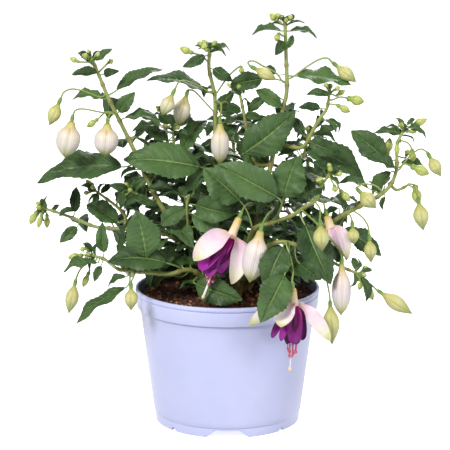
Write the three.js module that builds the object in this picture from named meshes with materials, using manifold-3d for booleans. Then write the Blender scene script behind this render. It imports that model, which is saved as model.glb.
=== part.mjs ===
// Potted fuchsia: a bushy plant with hanging double blooms and fat pale buds, in a plastic
// grower's pot that stands on its notched foot.
// Millimetres, +Z up. The origin is the centre of the pot's foot, on the surface that it stands on.
// The front is the -Y side.
import * as THREE from 'three';
import { mergeVertices } from 'three/addons/utils/BufferGeometryUtils.js';
import Module from 'manifold-3d';

const wasm = await Module();
wasm.setup();

// Driving dimensions
const POT = {
  rimRadius: 70, footRadius: 55, height: 103.5, wall: 2, sides: 24,
  band: 15, bandOverhang: 3.4, footStep: 8, footOverhang: 1.2, floor: 6, floorThickness: 2.2, ringWall: 3,
};
// The foot ring's recesses are cut outwards from inside the ring: two wide ones and four notches,
// each with its half widths at the ground and at its top, its height, and its turns from the front
const RECESS = { depth: 20, start: 41 };
const RECESSES = [
  { bottomHalf: 18.6, topHalf: 9, height: 5.8, turns: [0, 180] },
  { bottomHalf: 3.8, topHalf: 0.7, height: 3, turns: [-132.5, -47.5, 47.5, 132.5] },
];
const DRAIN = { count: 6, ring: 34, radius: 4.5, sides: 5 };
const SOIL = { top: 96, dome: 1.5, crumb: 1.3, gap: 0.3, sides: 18 };
const HOLE = { depth: 14, gap: 0.5, sides: 5, widen: 1.3, above: 12, collar: 5, clear: 2 };
const STEM = { sides: 5, step: 19, joints: 12 };
const STALK = { radius: 0.65, sides: 4, step: 16 };
const OVARY = { length: 5, radius: 1.9, gap: 0.3 };
const BLADE = { thickness: 0.7, petiole: 1.3, ratio: 0.5, bow: 0.07, fold: 0.1, tooth: 0.05, guard: 0.45 };
const GROWTH = {
  petiole: 7, large: 34, small: 15, turn: 50, pitch: [-32, 8], twist: 0.8, lift: 0.6, level: 0.15,
  young: 1.12, shrink: 0.42, least: 0.88, spread: 0.24,
};
const BUSH = { left: 128, right: 338, top: 122, bottom: 288, near: 15, back: 101 };
const PETAL = { thickness: 0.7 };
const FLATNESS = 0.08;
const BUD_PROFILE = [[0, 0], [0.34, 0], [0.96, 0.4], [0.8, 0.7], [0, 1]];
const CALYX = { tube: 3.1, flare: 4, sink: 1.2, cup: 0.12 };
const SKIRT = {
  hole: 1.7, wall: 1.3, gap: 0.9, height: 3.4, sink: 0.4, belly: 1.7, flute: 0.7, scallop: 0.16,
  rounds: [
    { count: 4, turn: 0.5, spread: 1, half: 0.74, reach: 1, rows: 3 },
    { count: 3, turn: 0.2, spread: 0.6, half: 0.9, reach: 0.9, rows: 2 },
  ],
};
const STAMENS = {
  count: 5, column: 1.2, columnStart: 0.8, columnLength: 4.2, threadStart: 3.5, thread: 0.42,
  waist: 0.6, spread: 2.6, past: 5, step: 2.5, anther: 1, antherLength: 2.2, stigma: 1.2, stigmaLength: 2.8,
};

// The front view in which the routes below are given: a camera 1.5 m in front of the plant and
// 12 degrees above it. A place in it is [across, down, depth]: the first two in the view's
// 450-pixel frame, the depth in millimetres along +Y, less than 0 in front of the pot's axis.
const VIEW = { distance: 1500, elevation: 12.1, target: [-1.8, 0, 150.6], focal: 1986.8, centre: 225 };
const PIXEL = VIEW.distance / VIEW.focal;

// Every stem: where it leaves the soil, its radius there and at its tip, and the places that it
// passes. A branch starts at the nearest point of the stem before it. A leaf row is blade base,
// blade tip, apparent width, depth from the stem to the base, depth from the base to the tip, and
// then, where the leaf stalk doesn't start at the nearest point, where on the stem it does. A
// width below 0 shows the leaf's underside. A stalk row is the stalk's places, then the bud's top
// and tip, its width and its depth. A named bud is a piece of its own below its ovary, and the
// others are small and green. Pairs are the leaf pairs that grow by rule on the far side.
const STEMS = [
  {
    name: 'stem_left_tall', base: [-9, -3], radius: [2.2, 1.1],
    route: [[205, 272, -3], [191, 246, -2], [175, 226, 0], [154, 193, 4], [133, 148, 8],
      [109, 99, 10], [100, 78, 10], [91, 57, 10]],
    branches: [
      { radius: [1.3, 0.9], route: [[188, 233, -12], [187, 207, -22], [189, 195, -24]] },
      { radius: [1.2, 0.9], route: [[152, 201, 0], [141, 196, -6], [130, 191, -9]] },
    ],
    leaves: [
      [122, 167, 34, 180, 27, -4, 10], [125, 118, 163, 120, 10, -3, -6], [103, 99, 71, 95, 12, 0, -4],
      [119, 112, 135, 92, 18, -4, -6], [117, 90, 163, 67, 13, 2, 8], [97, 72, 71, 74, 12, -2, -6],
      [104, 74, 117, 71, 11, -2, -8], [95, 60, 112, 48, 10, 0, -4], [90, 62, 77, 49, 9, 2, 5],
      [128, 190, 109, 185, 11, 0, -4], [133, 189, 144, 178, 9, -1, -4], [122, 193, 121, 208, 11, -2, -8],
      [136, 196, 155, 206, 12, -2, -8], [186, 209, 157, 226, 17, 2, 4],
      [196, 205, 236, 214, 25, -3, -8], [193, 214, 222, 236, 20, -2, -6], [172, 212, 142, 204, 15, 6, 6],
    ],
    stalks: [
      ['bud_left_end', [[100, 97], [83, 91], [72, 89], [64, 92]], 61, 98, 50, 124, 14, 2],
      ['bud_left_outer', [[115, 114], [100, 112], [84, 109], [76, 110]], 73, 115, 65, 156, 25, -14],
      ['bud_left_inner', [[120, 119], [113, 112]], 108, 117, 105, 155, 25, -12],
      [null, [[114, 113], [106, 112]], 98, 119, 87, 127, 7, 4],
      [null, [[92, 62]], 79, 62, 70, 58, 6, 4],
      [null, [[99, 72]], 108, 63, 113, 60, 6, 14],
    ],
    pairs: { count: 4, from: 0.28, to: 0.9, blade: 38 },
  },
  {
    name: 'stem_centre_left', base: [-4, 9], radius: [2.2, 1.1],
    route: [[222, 250, 12], [219, 200, 14], [216, 150, 16], [215, 100, 16], [213, 87, 16],
      [209, 68, 14], [210, 47, 12]],
    branches: [
      { radius: [1.4, 0.9], route: [[196, 176, 20], [176, 150, 22], [173, 129, 22]] },
    ],
    leaves: [
      [200, 167, 122, 158, 35, -14, -6], [205, 92, 146, 80, 13, -2, -4], [205, 56, 182, 67, 13, -2, -6],
      [206, 50, 194, 44, 6, 0, 3], [213, 49, 232, 46, 7, 0, 4], [213, 69, 233, 81, 15, -2, -6],
      [218, 110, 234, 92, -17, 2, 6], [219, 112, 241, 109, 12, 4, 6], [170, 124, 158, 110, 13, 0, 4],
      [177, 126, 192, 112, 13, 0, 4], [183, 150, 206, 116, 19, 4, 6], [168, 140, 142, 126, 15, 4, 6],
      [217, 138, 242, 125, 16, 4, 6],
    ],
    stalks: [
      ['bud_top_left', [[211, 93], [199, 86], [186, 81], [179, 82]], 175, 89, 163, 114, 15, -4],
      ['bud_top_behind', [[214, 112], [204, 101], [194, 91]], 188, 90, 178, 124, 18, 12],
      ['bud_centre', [[216, 101], [221, 104], [221, 111]], 220, 117, 220, 163, 19, -9],
      ['bud_centre_behind', [[218, 104], [226, 102], [230, 108]], 229, 114, 230, 140, 11, 30],
      [null, [[216, 94], [227, 78], [236, 69]], 241, 66, 242, 74, 6, 8],
      [null, [[208, 62], [202, 56]], 193, 53, 180, 48, 8, 6],
      [null, [], 207, 51, 202, 43, 7, 2],
    ],
    pairs: { count: 5, from: 0.25, to: 0.88, blade: 40 },
  },
  {
    name: 'stem_centre_right', base: [5, 3], radius: [2.3, 1.1],
    route: [[250, 250, -4], [262, 200, -8], [272, 160, -8], [283, 108, -4], [286, 97, -3],
      [287, 82, -2], [286, 53, 0], [285, 20, 0]],
    branches: [
      { radius: [1.5, 0.9], route: [[292, 147, -14], [304, 146, -18], [314, 128, -18],
        [321, 117, -18], [327, 108, -18], [330, 90, -18]] },
      { radius: [1.4, 0.9], route: [[254, 160, 4], [244, 114, 6], [239, 90, 6]] },
    ],
    leaves: [
      [244, 153, 296, 111, 36, -14, -6], [262, 79, 227, 86, 18, 4, 6, 287, 82],
      [276, 74, 264, 65, 9, 0, 4], [281, 107, 254, 88, 17, -3, 4],
      [265, 97, 247, 113, 13, 8, 4, 285, 100],
      [241, 112, 224, 104, 12, 0, 4], [246, 114, 263, 118, 11, -1, -4], [281, 31, 251, 33, 8, 0, -5],
      [290, 31, 319, 33, 8, 0, -5], [284, 42, 276, 54, 14, -3, -8], [288, 48, 293, 34, 8, 0, 3],
      [297, 76, 352, 85, 16, -3, -8], [310, 142, 342, 154, 22, -3, -8], [305, 149, 366, 178, 28, 4, 6],
      [320, 108, 298, 107, 11, 0, -4], [328, 95, 306, 92, 10, 0, -3],
      [303, 135, 295, 116, 13, 6, 5, 310, 135],
      [268, 166, 234, 142, 24, 6, 6], [277, 150, 306, 143, 15, 4, 6],
      [286, 20, 296, 14, 7, 0, 3], [239, 93, 230, 84, 7, 0, 3],
    ],
    stalks: [
      ['bud_top_yellow', [[283, 82], [276, 73], [263, 66], [254, 61], [248, 62]],
        250, 66, 275, 79, 12, -12],
      ['bud_top_right', [[291, 78], [305, 68], [318, 60], [327, 58]], 332, 62, 355, 81, 14, -8],
      ['bud_front_white', [[265, 206], [274, 208], [268, 214]], 262, 224, 250, 281, 24, -70],
      [null, [[282, 24]], 278, 21, 270, 14, 8, 2],
      [null, [[283, 36]], 279, 33, 276, 41, 7, -6],
      [null, [[332, 100], [340, 97]], 347, 98, 364, 102, 11, -20],
      [null, [[330, 104]], 337, 105, 350, 112, 8, -23],
      [null, [[331, 94]], 336, 96, 345, 90, 6, -14],
    ],
    pairs: { count: 5, from: 0.22, to: 0.9, blade: 40 },
  },
  {
    name: 'stem_right_far', base: [12, -3], radius: [2.2, 1.0],
    route: [[275, 262, -18], [310, 235, -28], [345, 214, -34], [383, 193, -38], [396, 172, -38],
      [397, 145, -36], [404, 130, -34]],
    branches: [
      { radius: [1.2, 0.8], route: [[397, 190, -34], [410, 184, -32]] },
    ],
    leaves: [
      [384, 158, 351, 130, 25, -2, -4], [394, 167, 366, 155, 14, 0, -4], [400, 134, 374, 131, 10, 0, -4],
      [408, 128, 428, 136, 7, 0, -4], [401, 163, 430, 172, 11, 4, 4], [391, 172, 368, 195, 14, 5, 6],
      [368, 188, 337, 180, 9, -2, -3, 380, 195], [385, 197, 381, 210, 6, -2, -4],
      [343, 230, 382, 256, 20, 8, 6, 350, 211],
      [404, 127, 396, 116, 6, 0, 3], [407, 125, 416, 117, 6, 0, 3],
    ],
    stalks: [
      ['bud_right_upper', [[384, 194], [376, 186], [364, 184]], 356, 188, 375, 207, 16, -46],
      ['bud_right_low_a', [[346, 214], [350, 215]], 352, 221, 354, 243, 12, -46],
      ['bud_right_low_b', [[352, 210], [362, 217], [368, 226]], 369, 234, 371, 261, 13, -40],
      ['bud_far_upper', [[400, 167], [410, 156], [420, 149]], 427, 152, 440, 175, 13, -42],
      ['bud_far_pair', [[409, 185], [413, 188]], 418, 197, 423, 229, 16, -44],
      [null, [[399, 170], [404, 164]], 411, 166, 429, 174, 11, -46],
      [null, [[411, 184]], 415, 185, 418, 204, 11, -26],
      [null, [[399, 140], [408, 143]], 412, 149, 413, 162, 8, -34],
      [null, [], 397, 141, 397, 156, 6, -42],
      [null, [[397, 168], [389, 163]], 387, 156, 390, 138, 9, -28],
      [null, [[405, 130]], 411, 126, 427, 119, 8, -30],
      [null, [[405, 158]], 406, 156, 409, 150, 7, -27],
    ],
    pairs: { count: 3, from: 0.3, to: 0.85, blade: 36 },
  },
  {
    name: 'stem_right_middle', base: [9, -13], radius: [2.1, 1.0],
    route: [[251, 234, -30], [271, 223, -36], [291, 216, -42], [306, 206, -46], [316, 200, -48],
      [320, 188, -48], [331, 172, -48]],
    branches: [],
    leaves: [
      [239, 200, 203, 168, 33, -6, -2, 251, 231], [277, 197, 216, 164, 33, -8, -4, 271, 223],
      [284, 197, 298, 156, 34, -6, -2, 274, 222], [305, 225, 331, 285, 31, -6, -14],
      [332, 176, 313, 160, 20, 8, 6], [333, 174, 341, 164, 8, 0, 3], [322, 190, 308, 193, 9, -1, -5],
    ],
    stalks: [
      ['bud_right_white', [[302, 210], [316, 223], [329, 237], [339, 250]], 342, 257, 341, 314, 19, -58],
      ['bud_right_green', [[316, 203], [320, 209], [320, 214]], 320, 219, 322, 250, 16, -73],
      [null, [[320, 186]], 321, 183, 318, 177, 8, -54],
      [null, [[329, 176]], 334, 185, 336, 192, 7, -52],
      [null, [[331, 178], [336, 182]], 340, 190, 350, 201, 8, -46],
    ],
    pairs: { count: 2, from: 0.3, to: 0.8, blade: 36 },
  },
  {
    name: 'stem_right_low', base: [4, -20], radius: [2.1, 0.9],
    route: [[247, 262, -44], [266, 247, -54], [285, 242, -60], [312, 252, -58], [340, 266, -52],
      [359, 274, -48]],
    branches: [],
    leaves: [
      [283, 247, 265, 290, 28, -8, -12], [284, 276, 260, 323, 31, -20, -14, 290, 243],
      [300, 264, 322, 280, 18, -6, -8, 296, 246], [361, 277, 369, 302, 11, -2, -8],
      [340, 262, 334, 245, 12, 3, 6], [357, 270, 352, 256, 9, 2, 5], [362, 272, 374, 268, 6, 0, 3],
    ],
    stalks: [
      ['bud_right_low', [[314, 257], [325, 276], [329, 292]], 330, 300, 332, 343, 17, -64],
      ['bud_low_end', [[360, 277], [369, 283]], 377, 290, 411, 313, 15, -54],
      [null, [[360, 277]], 366, 283, 373, 300, 8, -40],
      [null, [[357, 275]], 362, 280, 359, 290, 6, -54],
    ],
    pairs: { count: 2, from: 0.3, to: 0.75, blade: 34 },
  },
  {
    name: 'stem_left_middle', base: [-15, 7], radius: [2.1, 0.9],
    route: [[205, 262, 10], [194, 250, 12], [178, 241, 16], [159, 231, 20], [128, 229, 26],
      [97, 227, 32], [76, 219, 36], [53, 211, 38], [42, 208, 39]],
    branches: [
      { radius: [1.3, 0.8], route: [[125, 216, 26], [116, 206, 24], [100, 194, 22], [94, 190, 22]] },
    ],
    leaves: [
      [77, 227, 59, 243, 15, -3, -6], [60, 216, 76, 208, 8, -3, -3], [75, 212, 76, 185, 14, 0, 5],
      [118, 222, 84, 201, 20, 4, 8], [95, 191, 80, 184, 7, 0, 3], [101, 193, 113, 183, 8, 2, 4],
      [98, 194, 92, 205, 8, -2, -4], [47, 207, 40, 197, 7, 0, 3], [52, 212, 60, 203, 6, 2, 3],
    ],
    stalks: [
      [null, [], 37, 211, 30, 224, 8, 36],
      [null, [], 42, 213, 38, 228, 6, 33],
      [null, [[44, 209]], 47, 214, 47, 228, 7, 42],
      [null, [], 93, 187, 86, 180, 6, 24],
    ],
    pairs: { count: 4, from: 0.25, to: 0.9, blade: 34 },
  },
  {
    name: 'stem_left_low', base: [-10, -16], radius: [2.1, 0.9],
    route: [[198, 274, -28], [186, 270, -34], [170, 274, -38], [152, 273, -40], [132, 271, -38],
      [118, 269, -36], [104, 259, -32], [90, 255, -30]],
    branches: [],
    leaves: [
      [146, 256, 136, 210, 34, -6, -6, 149, 272], [166, 263, 107, 262, 25, -8, -8, 184, 269],
      [104, 252, 102, 222, 16, -1, -2], [97, 263, 61, 268, 9, -4, -6], [125, 288, 76, 325, 12, -6, -8],
      [101, 266, 94, 282, 10, -4, -6], [126, 277, 106, 286, 8, 4, 6], [196, 284, 243, 300, 26, -14, -14],
      [93, 251, 82, 241, 7, 0, 3], [160, 268, 176, 244, 18, 6, 10],
    ],
    stalks: [
      ['bud_low_left_outer', [[96, 260], [88, 262], [80, 270]], 76, 279, 69, 312, 14, -34],
      ['bud_low_left_inner', [[134, 274], [134, 276]], 131, 282, 131, 309, 14, -60],
      [null, [[89, 255]], 83, 255, 68, 258, 8, -26],
      [null, [[91, 260]], 89, 272, 83, 287, 7, -26],
      [null, [[90, 254]], 86, 248, 80, 250, 6, -34],
    ],
    pairs: { count: 3, from: 0.3, to: 0.85, blade: 36 },
  },
];

// The shoots at the back, which the front view doesn't show, in millimetres [x, y, z]
const BACK_STEMS = [
  {
    name: 'stem_back_left', base: [-8, 18], radius: [2.1, 1.0], axes: true,
    route: [[-20, 36, 130], [-38, 58, 168], [-47, 78, 200], [-50, 88, 224]],
    stalks: [['bud_back_left', [[-50, 82, 206], [-56, 90, 206]], [-58, 91, 200], [-60, 93, 172], 18]],
    pairs: { count: 5, from: 0.2, to: 0.99, blade: 46 },
  },
  {
    name: 'stem_back_centre', base: [0, 22], radius: [2.1, 1.0], axes: true,
    route: [[3, 48, 142], [6, 70, 176], [4, 84, 204], [0, 90, 222]],
    stalks: [],
    pairs: { count: 5, from: 0.2, to: 0.99, blade: 46 },
  },
  {
    name: 'stem_back_right', base: [12, 16], radius: [2.1, 1.0], axes: true,
    route: [[26, 38, 130], [46, 60, 162], [60, 76, 190], [64, 84, 208]],
    stalks: [['bud_back_right', [[58, 80, 190], [62, 89, 190]], [64, 91, 184], [66, 92, 155], 18]],
    pairs: { count: 5, from: 0.2, to: 0.99, blade: 46 },
  },
  {
    name: 'stem_back_low_left', base: [-17, 15], radius: [2.0, 0.9], axes: true,
    route: [[-38, 42, 116], [-58, 68, 126], [-70, 84, 130]],
    stalks: [['bud_back_low', [[-68, 84, 128], [-74, 90, 122]], [-76, 92, 116], [-78, 93, 88], 17]],
    pairs: { count: 4, from: 0.25, to: 0.99, blade: 42 },
  },
  {
    name: 'stem_back_low_right', base: [17, 9], radius: [2.0, 0.9], axes: true,
    route: [[42, 36, 116], [66, 60, 128], [82, 74, 134]],
    stalks: [],
    pairs: { count: 4, from: 0.25, to: 0.99, blade: 42 },
  },
];

// The open blooms: the stalk's places, where the tube starts and ends, where the skirt of petals
// ends, how wide it opens and its rounds of petals, how far the sepals twist their faces to the
// front, and the sepals: tip, width and depth, and how far each bulges out and below the mouth
const BLOOMS = [
  {
    name: 'bloom_left', stem: 'stem_centre_right', stalk: [[260, 207], [252, 203], [246, 205]],
    top: [242, 211], depth: -50, mouth: [231, 237], skirt: [211, 270], skirtDepth: -54,
    open: 10.5, rounds: 2, twist: 0.8,
    sepals: [
      [194, 261, 22, -66, 16, 6], [231, 284, 18, -65, 17, 6],
      [242, 273, 15, -51, 17, 3], [212, 258, 15, -28, 19, 3],
    ],
    style: [204, 295], styleDepth: -56,
  },
  {
    name: 'bloom_right', stem: 'stem_right_low', stalk: [[286, 243], [290, 256], [293, 270]],
    top: [292, 281], depth: -84, mouth: [294, 305], skirt: [292, 343], skirtDepth: -87,
    open: 8.5, rounds: 2, twist: 0.8,
    sepals: [
      [249, 326, 15, -78, 16, 3], [281, 327, 19, -99, 15, 3],
      [330, 341, 15, -88, 15, 7], [300, 318, 14, -62, 17, 3],
    ],
    style: [290, 367], styleDepth: -88,
  },
  {
    name: 'bloom_half_open', stem: 'stem_right_middle', stalk: [[317, 198], [323, 202]],
    top: [325, 209], depth: -41, mouth: [331, 229], skirt: [338, 255], skirtDepth: -41,
    open: 4.6, rounds: 1, twist: 0.3,
    sepals: [
      [348, 259, 13, -44, 11.5, 3], [337, 265, 15, -48, 11.5, 3],
      [346, 261, 11, -36, 11.5, 3], [334, 262, 11, -37, 11.5, 3],
    ],
    style: null,
  },
  {
    name: 'bloom_back', stem: 'stem_back_centre', axes: true, stalk: [[12, 78, 180], [20, 84, 182]],
    top: [22, 86, 176], mouth: [23, 87, 158], skirt: [24, 88, 134],
    open: 10.5, rounds: 2, twist: 0,
    sepals: [
      [50, 88, 140, 13, 19, 3], [22, 101, 135, 13, 17, 3],
      [-2, 84, 138, 13, 19, 3], [24, 62, 136, 13, 19, 3],
    ],
    style: [24, 89, 112],
  },
];

// Shared vector work
const up = new THREE.Vector3(0, 0, 1);
const vec = (place) => new THREE.Vector3(...place);
const mix = (a, b, t) => a.clone().lerp(b, t);
const unit = (a) => a.clone().normalize();
const cross = (a, b) => new THREE.Vector3().crossVectors(a, b);
const along = (start, direction, distance) => start.clone().addScaledVector(direction, distance);
const square = (a, axis) => unit(along(a, axis, -a.dot(axis)));

// Two directions square to an axis and to each other
function crossways(axis) {
  const first = square(Math.abs(axis.z) > 0.9 ? new THREE.Vector3(1, 0, 0) : up, axis);
  return [first, cross(axis, first)];
}

const elevation = THREE.MathUtils.degToRad(VIEW.elevation);
const forward = new THREE.Vector3(0, Math.cos(elevation), -Math.sin(elevation));
const upward = new THREE.Vector3(0, Math.sin(elevation), Math.cos(elevation));
const eye = along(vec(VIEW.target), forward, -VIEW.distance);

// The point that the front view shows at a place
function at([across, down, depth]) {
  const ray = along(forward, upward, (VIEW.centre - down) / VIEW.focal);
  ray.x += (across - VIEW.centre) / VIEW.focal;
  return along(eye, ray, (depth - eye.y) / ray.y);
}

// Where the front view shows a point
function seen(point) {
  const away = point.clone().sub(eye);
  const scale = VIEW.focal / away.dot(forward);
  return [VIEW.centre + away.x * scale, VIEW.centre - away.dot(upward) * scale];
}

// A repeatable random number from 0 to 1
let seed = 20261;
function random() {
  seed = (seed * 16807) % 2147483647;
  return seed / 2147483647;
}

// A closed mesh as a solid: shared vertices merged, flat triangles dropped, faces outwards
function solid(geometry) {
  geometry.deleteAttribute('normal');
  geometry.deleteAttribute('uv');
  const merged = mergeVertices(geometry, 1e-5);
  const position = merged.getAttribute('position');
  const index = merged.getIndex();
  const corner = (k) => new THREE.Vector3().fromBufferAttribute(position, index.getX(k));
  const triangles = [];
  let volume = 0;
  for (let k = 0; k < index.count; k += 3) {
    const [a, b, c] = [index.getX(k), index.getX(k + 1), index.getX(k + 2)];
    if (a !== b && b !== c && c !== a) {
      triangles.push(a, b, c);
      volume += corner(k).dot(cross(corner(k + 1), corner(k + 2)));
    }
  }
  if (volume < 0) triangles.reverse();
  return new wasm.Manifold(new wasm.Mesh({
    numProp: 3,
    vertProperties: new Float32Array(position.array),
    triVerts: new Uint32Array(triangles),
  }));
}

// A solid from its points and its triangles
function closed(points, triangles) {
  const geometry = new THREE.BufferGeometry().setFromPoints(points);
  geometry.setIndex(triangles);
  return solid(geometry);
}

// One body from several that are sunk into each other, without the needless corners on its flats
function fuse(solids) {
  return tidied(wasm.Manifold.union(solids));
}

function tidied(body) {
  return body.asOriginal().simplify(FLATNESS);
}

// A ring of points round a centre, in the plane of two directions
function ring(centre, radius, sides, a, b) {
  return Array.from({ length: sides }, (_, k) => {
    const angle = (2 * Math.PI * k) / sides;
    return along(along(centre, a, radius * Math.cos(angle)), b, radius * Math.sin(angle));
  });
}

// A rod through stations, each a point and the radius there
function rod(stations, sides) {
  const points = [];
  let lean = null;
  stations.forEach(({ point, radius }, k) => {
    const before = stations[Math.max(k - 1, 0)].point;
    const after = stations[Math.min(k + 1, stations.length - 1)].point;
    const axis = unit(after.clone().sub(before));
    lean = lean ? square(lean, axis) : crossways(axis)[0];
    points.push(...ring(point, radius, sides, lean, cross(axis, lean)));
  });
  const count = stations.length - 1;
  const triangles = [];
  for (let k = 0; k < count * sides; k += 1) {
    const next = k % sides === sides - 1 ? k + 1 - sides : k + 1;
    triangles.push(k, next, next + sides, k, next + sides, k + sides);
  }
  const last = count * sides;
  for (let k = 1; k < sides - 1; k += 1) {
    triangles.push(0, k + 1, k, last, last + k, last + k + 1);
  }
  return closed(points, triangles);
}

// Stations along a curve, a step apart or a little less, tapered evenly
function stationsOf(curve, [startRadius, endRadius], step) {
  const count = Math.max(1, Math.round(curve.getLength() / step));
  return Array.from({ length: count + 1 }, (_, k) => ({
    point: curve.getPointAt(k / count),
    radius: THREE.MathUtils.lerp(startRadius, endRadius, k / count),
  }));
}

const smooth = (points) => new THREE.CatmullRomCurve3(points, false, 'catmullrom', 0.5);

// A turned form from its profile of [radius, height], set between two points, and pressed to
// ridges where it is asked for
function turned(profile, sides, start, end, ridges = 0) {
  const outline = profile.map(([radius, height]) => new THREE.Vector2(radius, height));
  const geometry = new THREE.LatheGeometry(outline, sides);
  const position = geometry.getAttribute('position');
  for (let k = 0; k < position.count; k += 1) {
    const angle = Math.atan2(position.getX(k), position.getZ(k));
    const press = 1 - (ridges * (1 - Math.cos(4 * angle))) / 2;
    position.setX(k, position.getX(k) * press);
    position.setZ(k, position.getZ(k) * press);
  }
  const axis = unit(end.clone().sub(start));
  geometry.applyQuaternion(new THREE.Quaternion().setFromUnitVectors(new THREE.Vector3(0, 1, 0), axis));
  geometry.translate(start.x, start.y, start.z);
  return solid(geometry);
}

// A sheet of even thickness from a surface of two parameters, both from 0 to 1
function sheet(surface, rows, columns, thickness) {
  const grid = [];
  for (let i = 0; i <= rows; i += 1) {
    for (let j = 0; j <= columns; j += 1) grid.push(surface(i / rows, j / columns));
  }
  const place = (i, j) => grid[i * (columns + 1) + j];
  const normal = (i, j) => {
    const down = place(Math.min(i + 1, rows), j).clone().sub(place(Math.max(i - 1, 0), j));
    const across = place(i, Math.min(j + 1, columns)).clone().sub(place(i, Math.max(j - 1, 0)));
    return unit(cross(down, across));
  };
  const half = thickness / 2;
  const front = [];
  const back = [];
  for (let i = 0; i <= rows; i += 1) {
    for (let j = 0; j <= columns; j += 1) {
      front.push(along(place(i, j), normal(i, j), half));
      back.push(along(place(i, j), normal(i, j), -half));
    }
  }
  const size = grid.length;
  const triangles = [];
  const quad = (a, b, c, d) => triangles.push(a, b, c, a, c, d);
  for (let i = 0; i < rows; i += 1) {
    for (let j = 0; j < columns; j += 1) {
      const a = i * (columns + 1) + j;
      quad(a, a + columns + 1, a + columns + 2, a + 1);
      triangles.push(a + size, a + columns + 2 + size, a + columns + 1 + size);
      triangles.push(a + size, a + 1 + size, a + columns + 2 + size);
    }
  }
  for (let i = 0; i < rows; i += 1) {
    const left = i * (columns + 1);
    const right = left + columns;
    quad(left, left + size, left + columns + 1 + size, left + columns + 1);
    quad(right, right + columns + 1, right + columns + 1 + size, right + size);
  }
  for (let j = 0; j < columns; j += 1) {
    const end = rows * (columns + 1) + j;
    quad(j, j + 1, j + 1 + size, j + size);
    quad(end, end + size, end + 1 + size, end + 1);
  }
  return closed([...front, ...back], triangles);
}

// The bodies placed so far, which the leaves bend clear of: the leaves of the same stem keep clear of
// a body that is marked own, and those of the other stems of one that is marked others
const placed = [];
const pieces = [];

function remember(node, body, marks = { own: true, others: true }) {
  placed.push({ node, body, box: body.boundingBox(), ...marks });
}

function apart(a, b) {
  return [0, 1, 2].some((k) => a.min[k] > b.max[k] || b.min[k] > a.max[k]);
}

function isClear(body, counts) {
  const box = body.boundingBox();
  return placed.every((other) => {
    if (!counts(other) || apart(box, other.box)) return true;
    return body.intersect(other.body).isEmpty();
  });
}

// One named piece of the model
function add(name, body, { colour, roughness }) {
  const mesh = body.getMesh();
  const geometry = new THREE.BufferGeometry();
  geometry.setAttribute('position', new THREE.BufferAttribute(mesh.vertProperties, 3));
  geometry.setIndex(new THREE.BufferAttribute(mesh.triVerts, 1));
  geometry.computeVertexNormals();
  const material = new THREE.MeshStandardMaterial({ color: colour, roughness, metalness: 0 });
  const piece = new THREE.Mesh(geometry, material);
  piece.name = name;
  pieces.push(piece);
}

const FINISH = {
  plastic: { colour: '#d8dcfa', roughness: 0.42 },
  peat: { colour: '#3a1e14', roughness: 0.95 },
  leaf: { colour: '#4f7a45', roughness: 0.55 },
  bud: { colour: '#f1eac9', roughness: 0.5 },
  sepal: { colour: '#f7e6ea', roughness: 0.5 },
  petal: { colour: '#7a0a80', roughness: 0.6 },
  stamen: { colour: '#c8407a', roughness: 0.5 },
};

// Pot: a turned wall with a rim band and a foot ring, notched and drained
function pot() {
  const { rimRadius, footRadius, height, wall, footStep, floor, ringWall } = POT;
  const bandStart = height - POT.band;
  const foot = footRadius + POT.footOverhang;
  const slope = (rimRadius - POT.bandOverhang - foot) / (bandStart - footStep);
  const wallAt = (z) => foot + slope * (z - footStep);
  const floorTop = floor + POT.floorThickness;
  const profile = [
    [0, floor], [footRadius - ringWall, floor], [footRadius - ringWall, 0], [footRadius, 0],
    [footRadius + 0.4, footStep - 0.5], [wallAt(footStep), footStep], [wallAt(bandStart), bandStart],
    [rimRadius - 1.1, bandStart + 0.5], [rimRadius - 0.3, height - 4.6], [rimRadius - 0.9, height - 3.9],
    [rimRadius, height - 3], [rimRadius - 0.8, height], [rimRadius - 2.3, height],
    [wallAt(bandStart) - wall, bandStart - 1], [wallAt(footStep) - wall, floorTop], [0, floorTop],
  ];
  let body = turned(profile, POT.sides, new THREE.Vector3(), up.clone());
  for (const { bottomHalf, topHalf, height: top, turns } of RECESSES) {
    const outline = new THREE.Shape([
      new THREE.Vector2(-bottomHalf, -1), new THREE.Vector2(bottomHalf, -1),
      new THREE.Vector2(topHalf, top), new THREE.Vector2(-topHalf, top),
    ]);
    for (const turn of turns) {
      const notch = new THREE.ExtrudeGeometry(outline, { depth: RECESS.depth, bevelEnabled: false });
      notch.rotateX(Math.PI / 2);
      notch.translate(0, -RECESS.start, 0);
      notch.rotateZ(THREE.MathUtils.degToRad(turn));
      body = body.subtract(solid(notch));
    }
  }
  for (let k = 0; k < DRAIN.count; k += 1) {
    const drain = new THREE.CylinderGeometry(DRAIN.radius, DRAIN.radius, 6, DRAIN.sides);
    drain.rotateX(Math.PI / 2);
    drain.translate(DRAIN.ring, 0, floor + 1);
    drain.rotateZ((2 * Math.PI * (k + 0.5)) / DRAIN.count);
    body = body.subtract(solid(drain));
  }
  body = tidied(body);
  add('pot', body, FINISH.plastic);
  remember('pot', body);
  return { floorTop, innerAt: (z) => wallAt(z) - wall };
}

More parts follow.
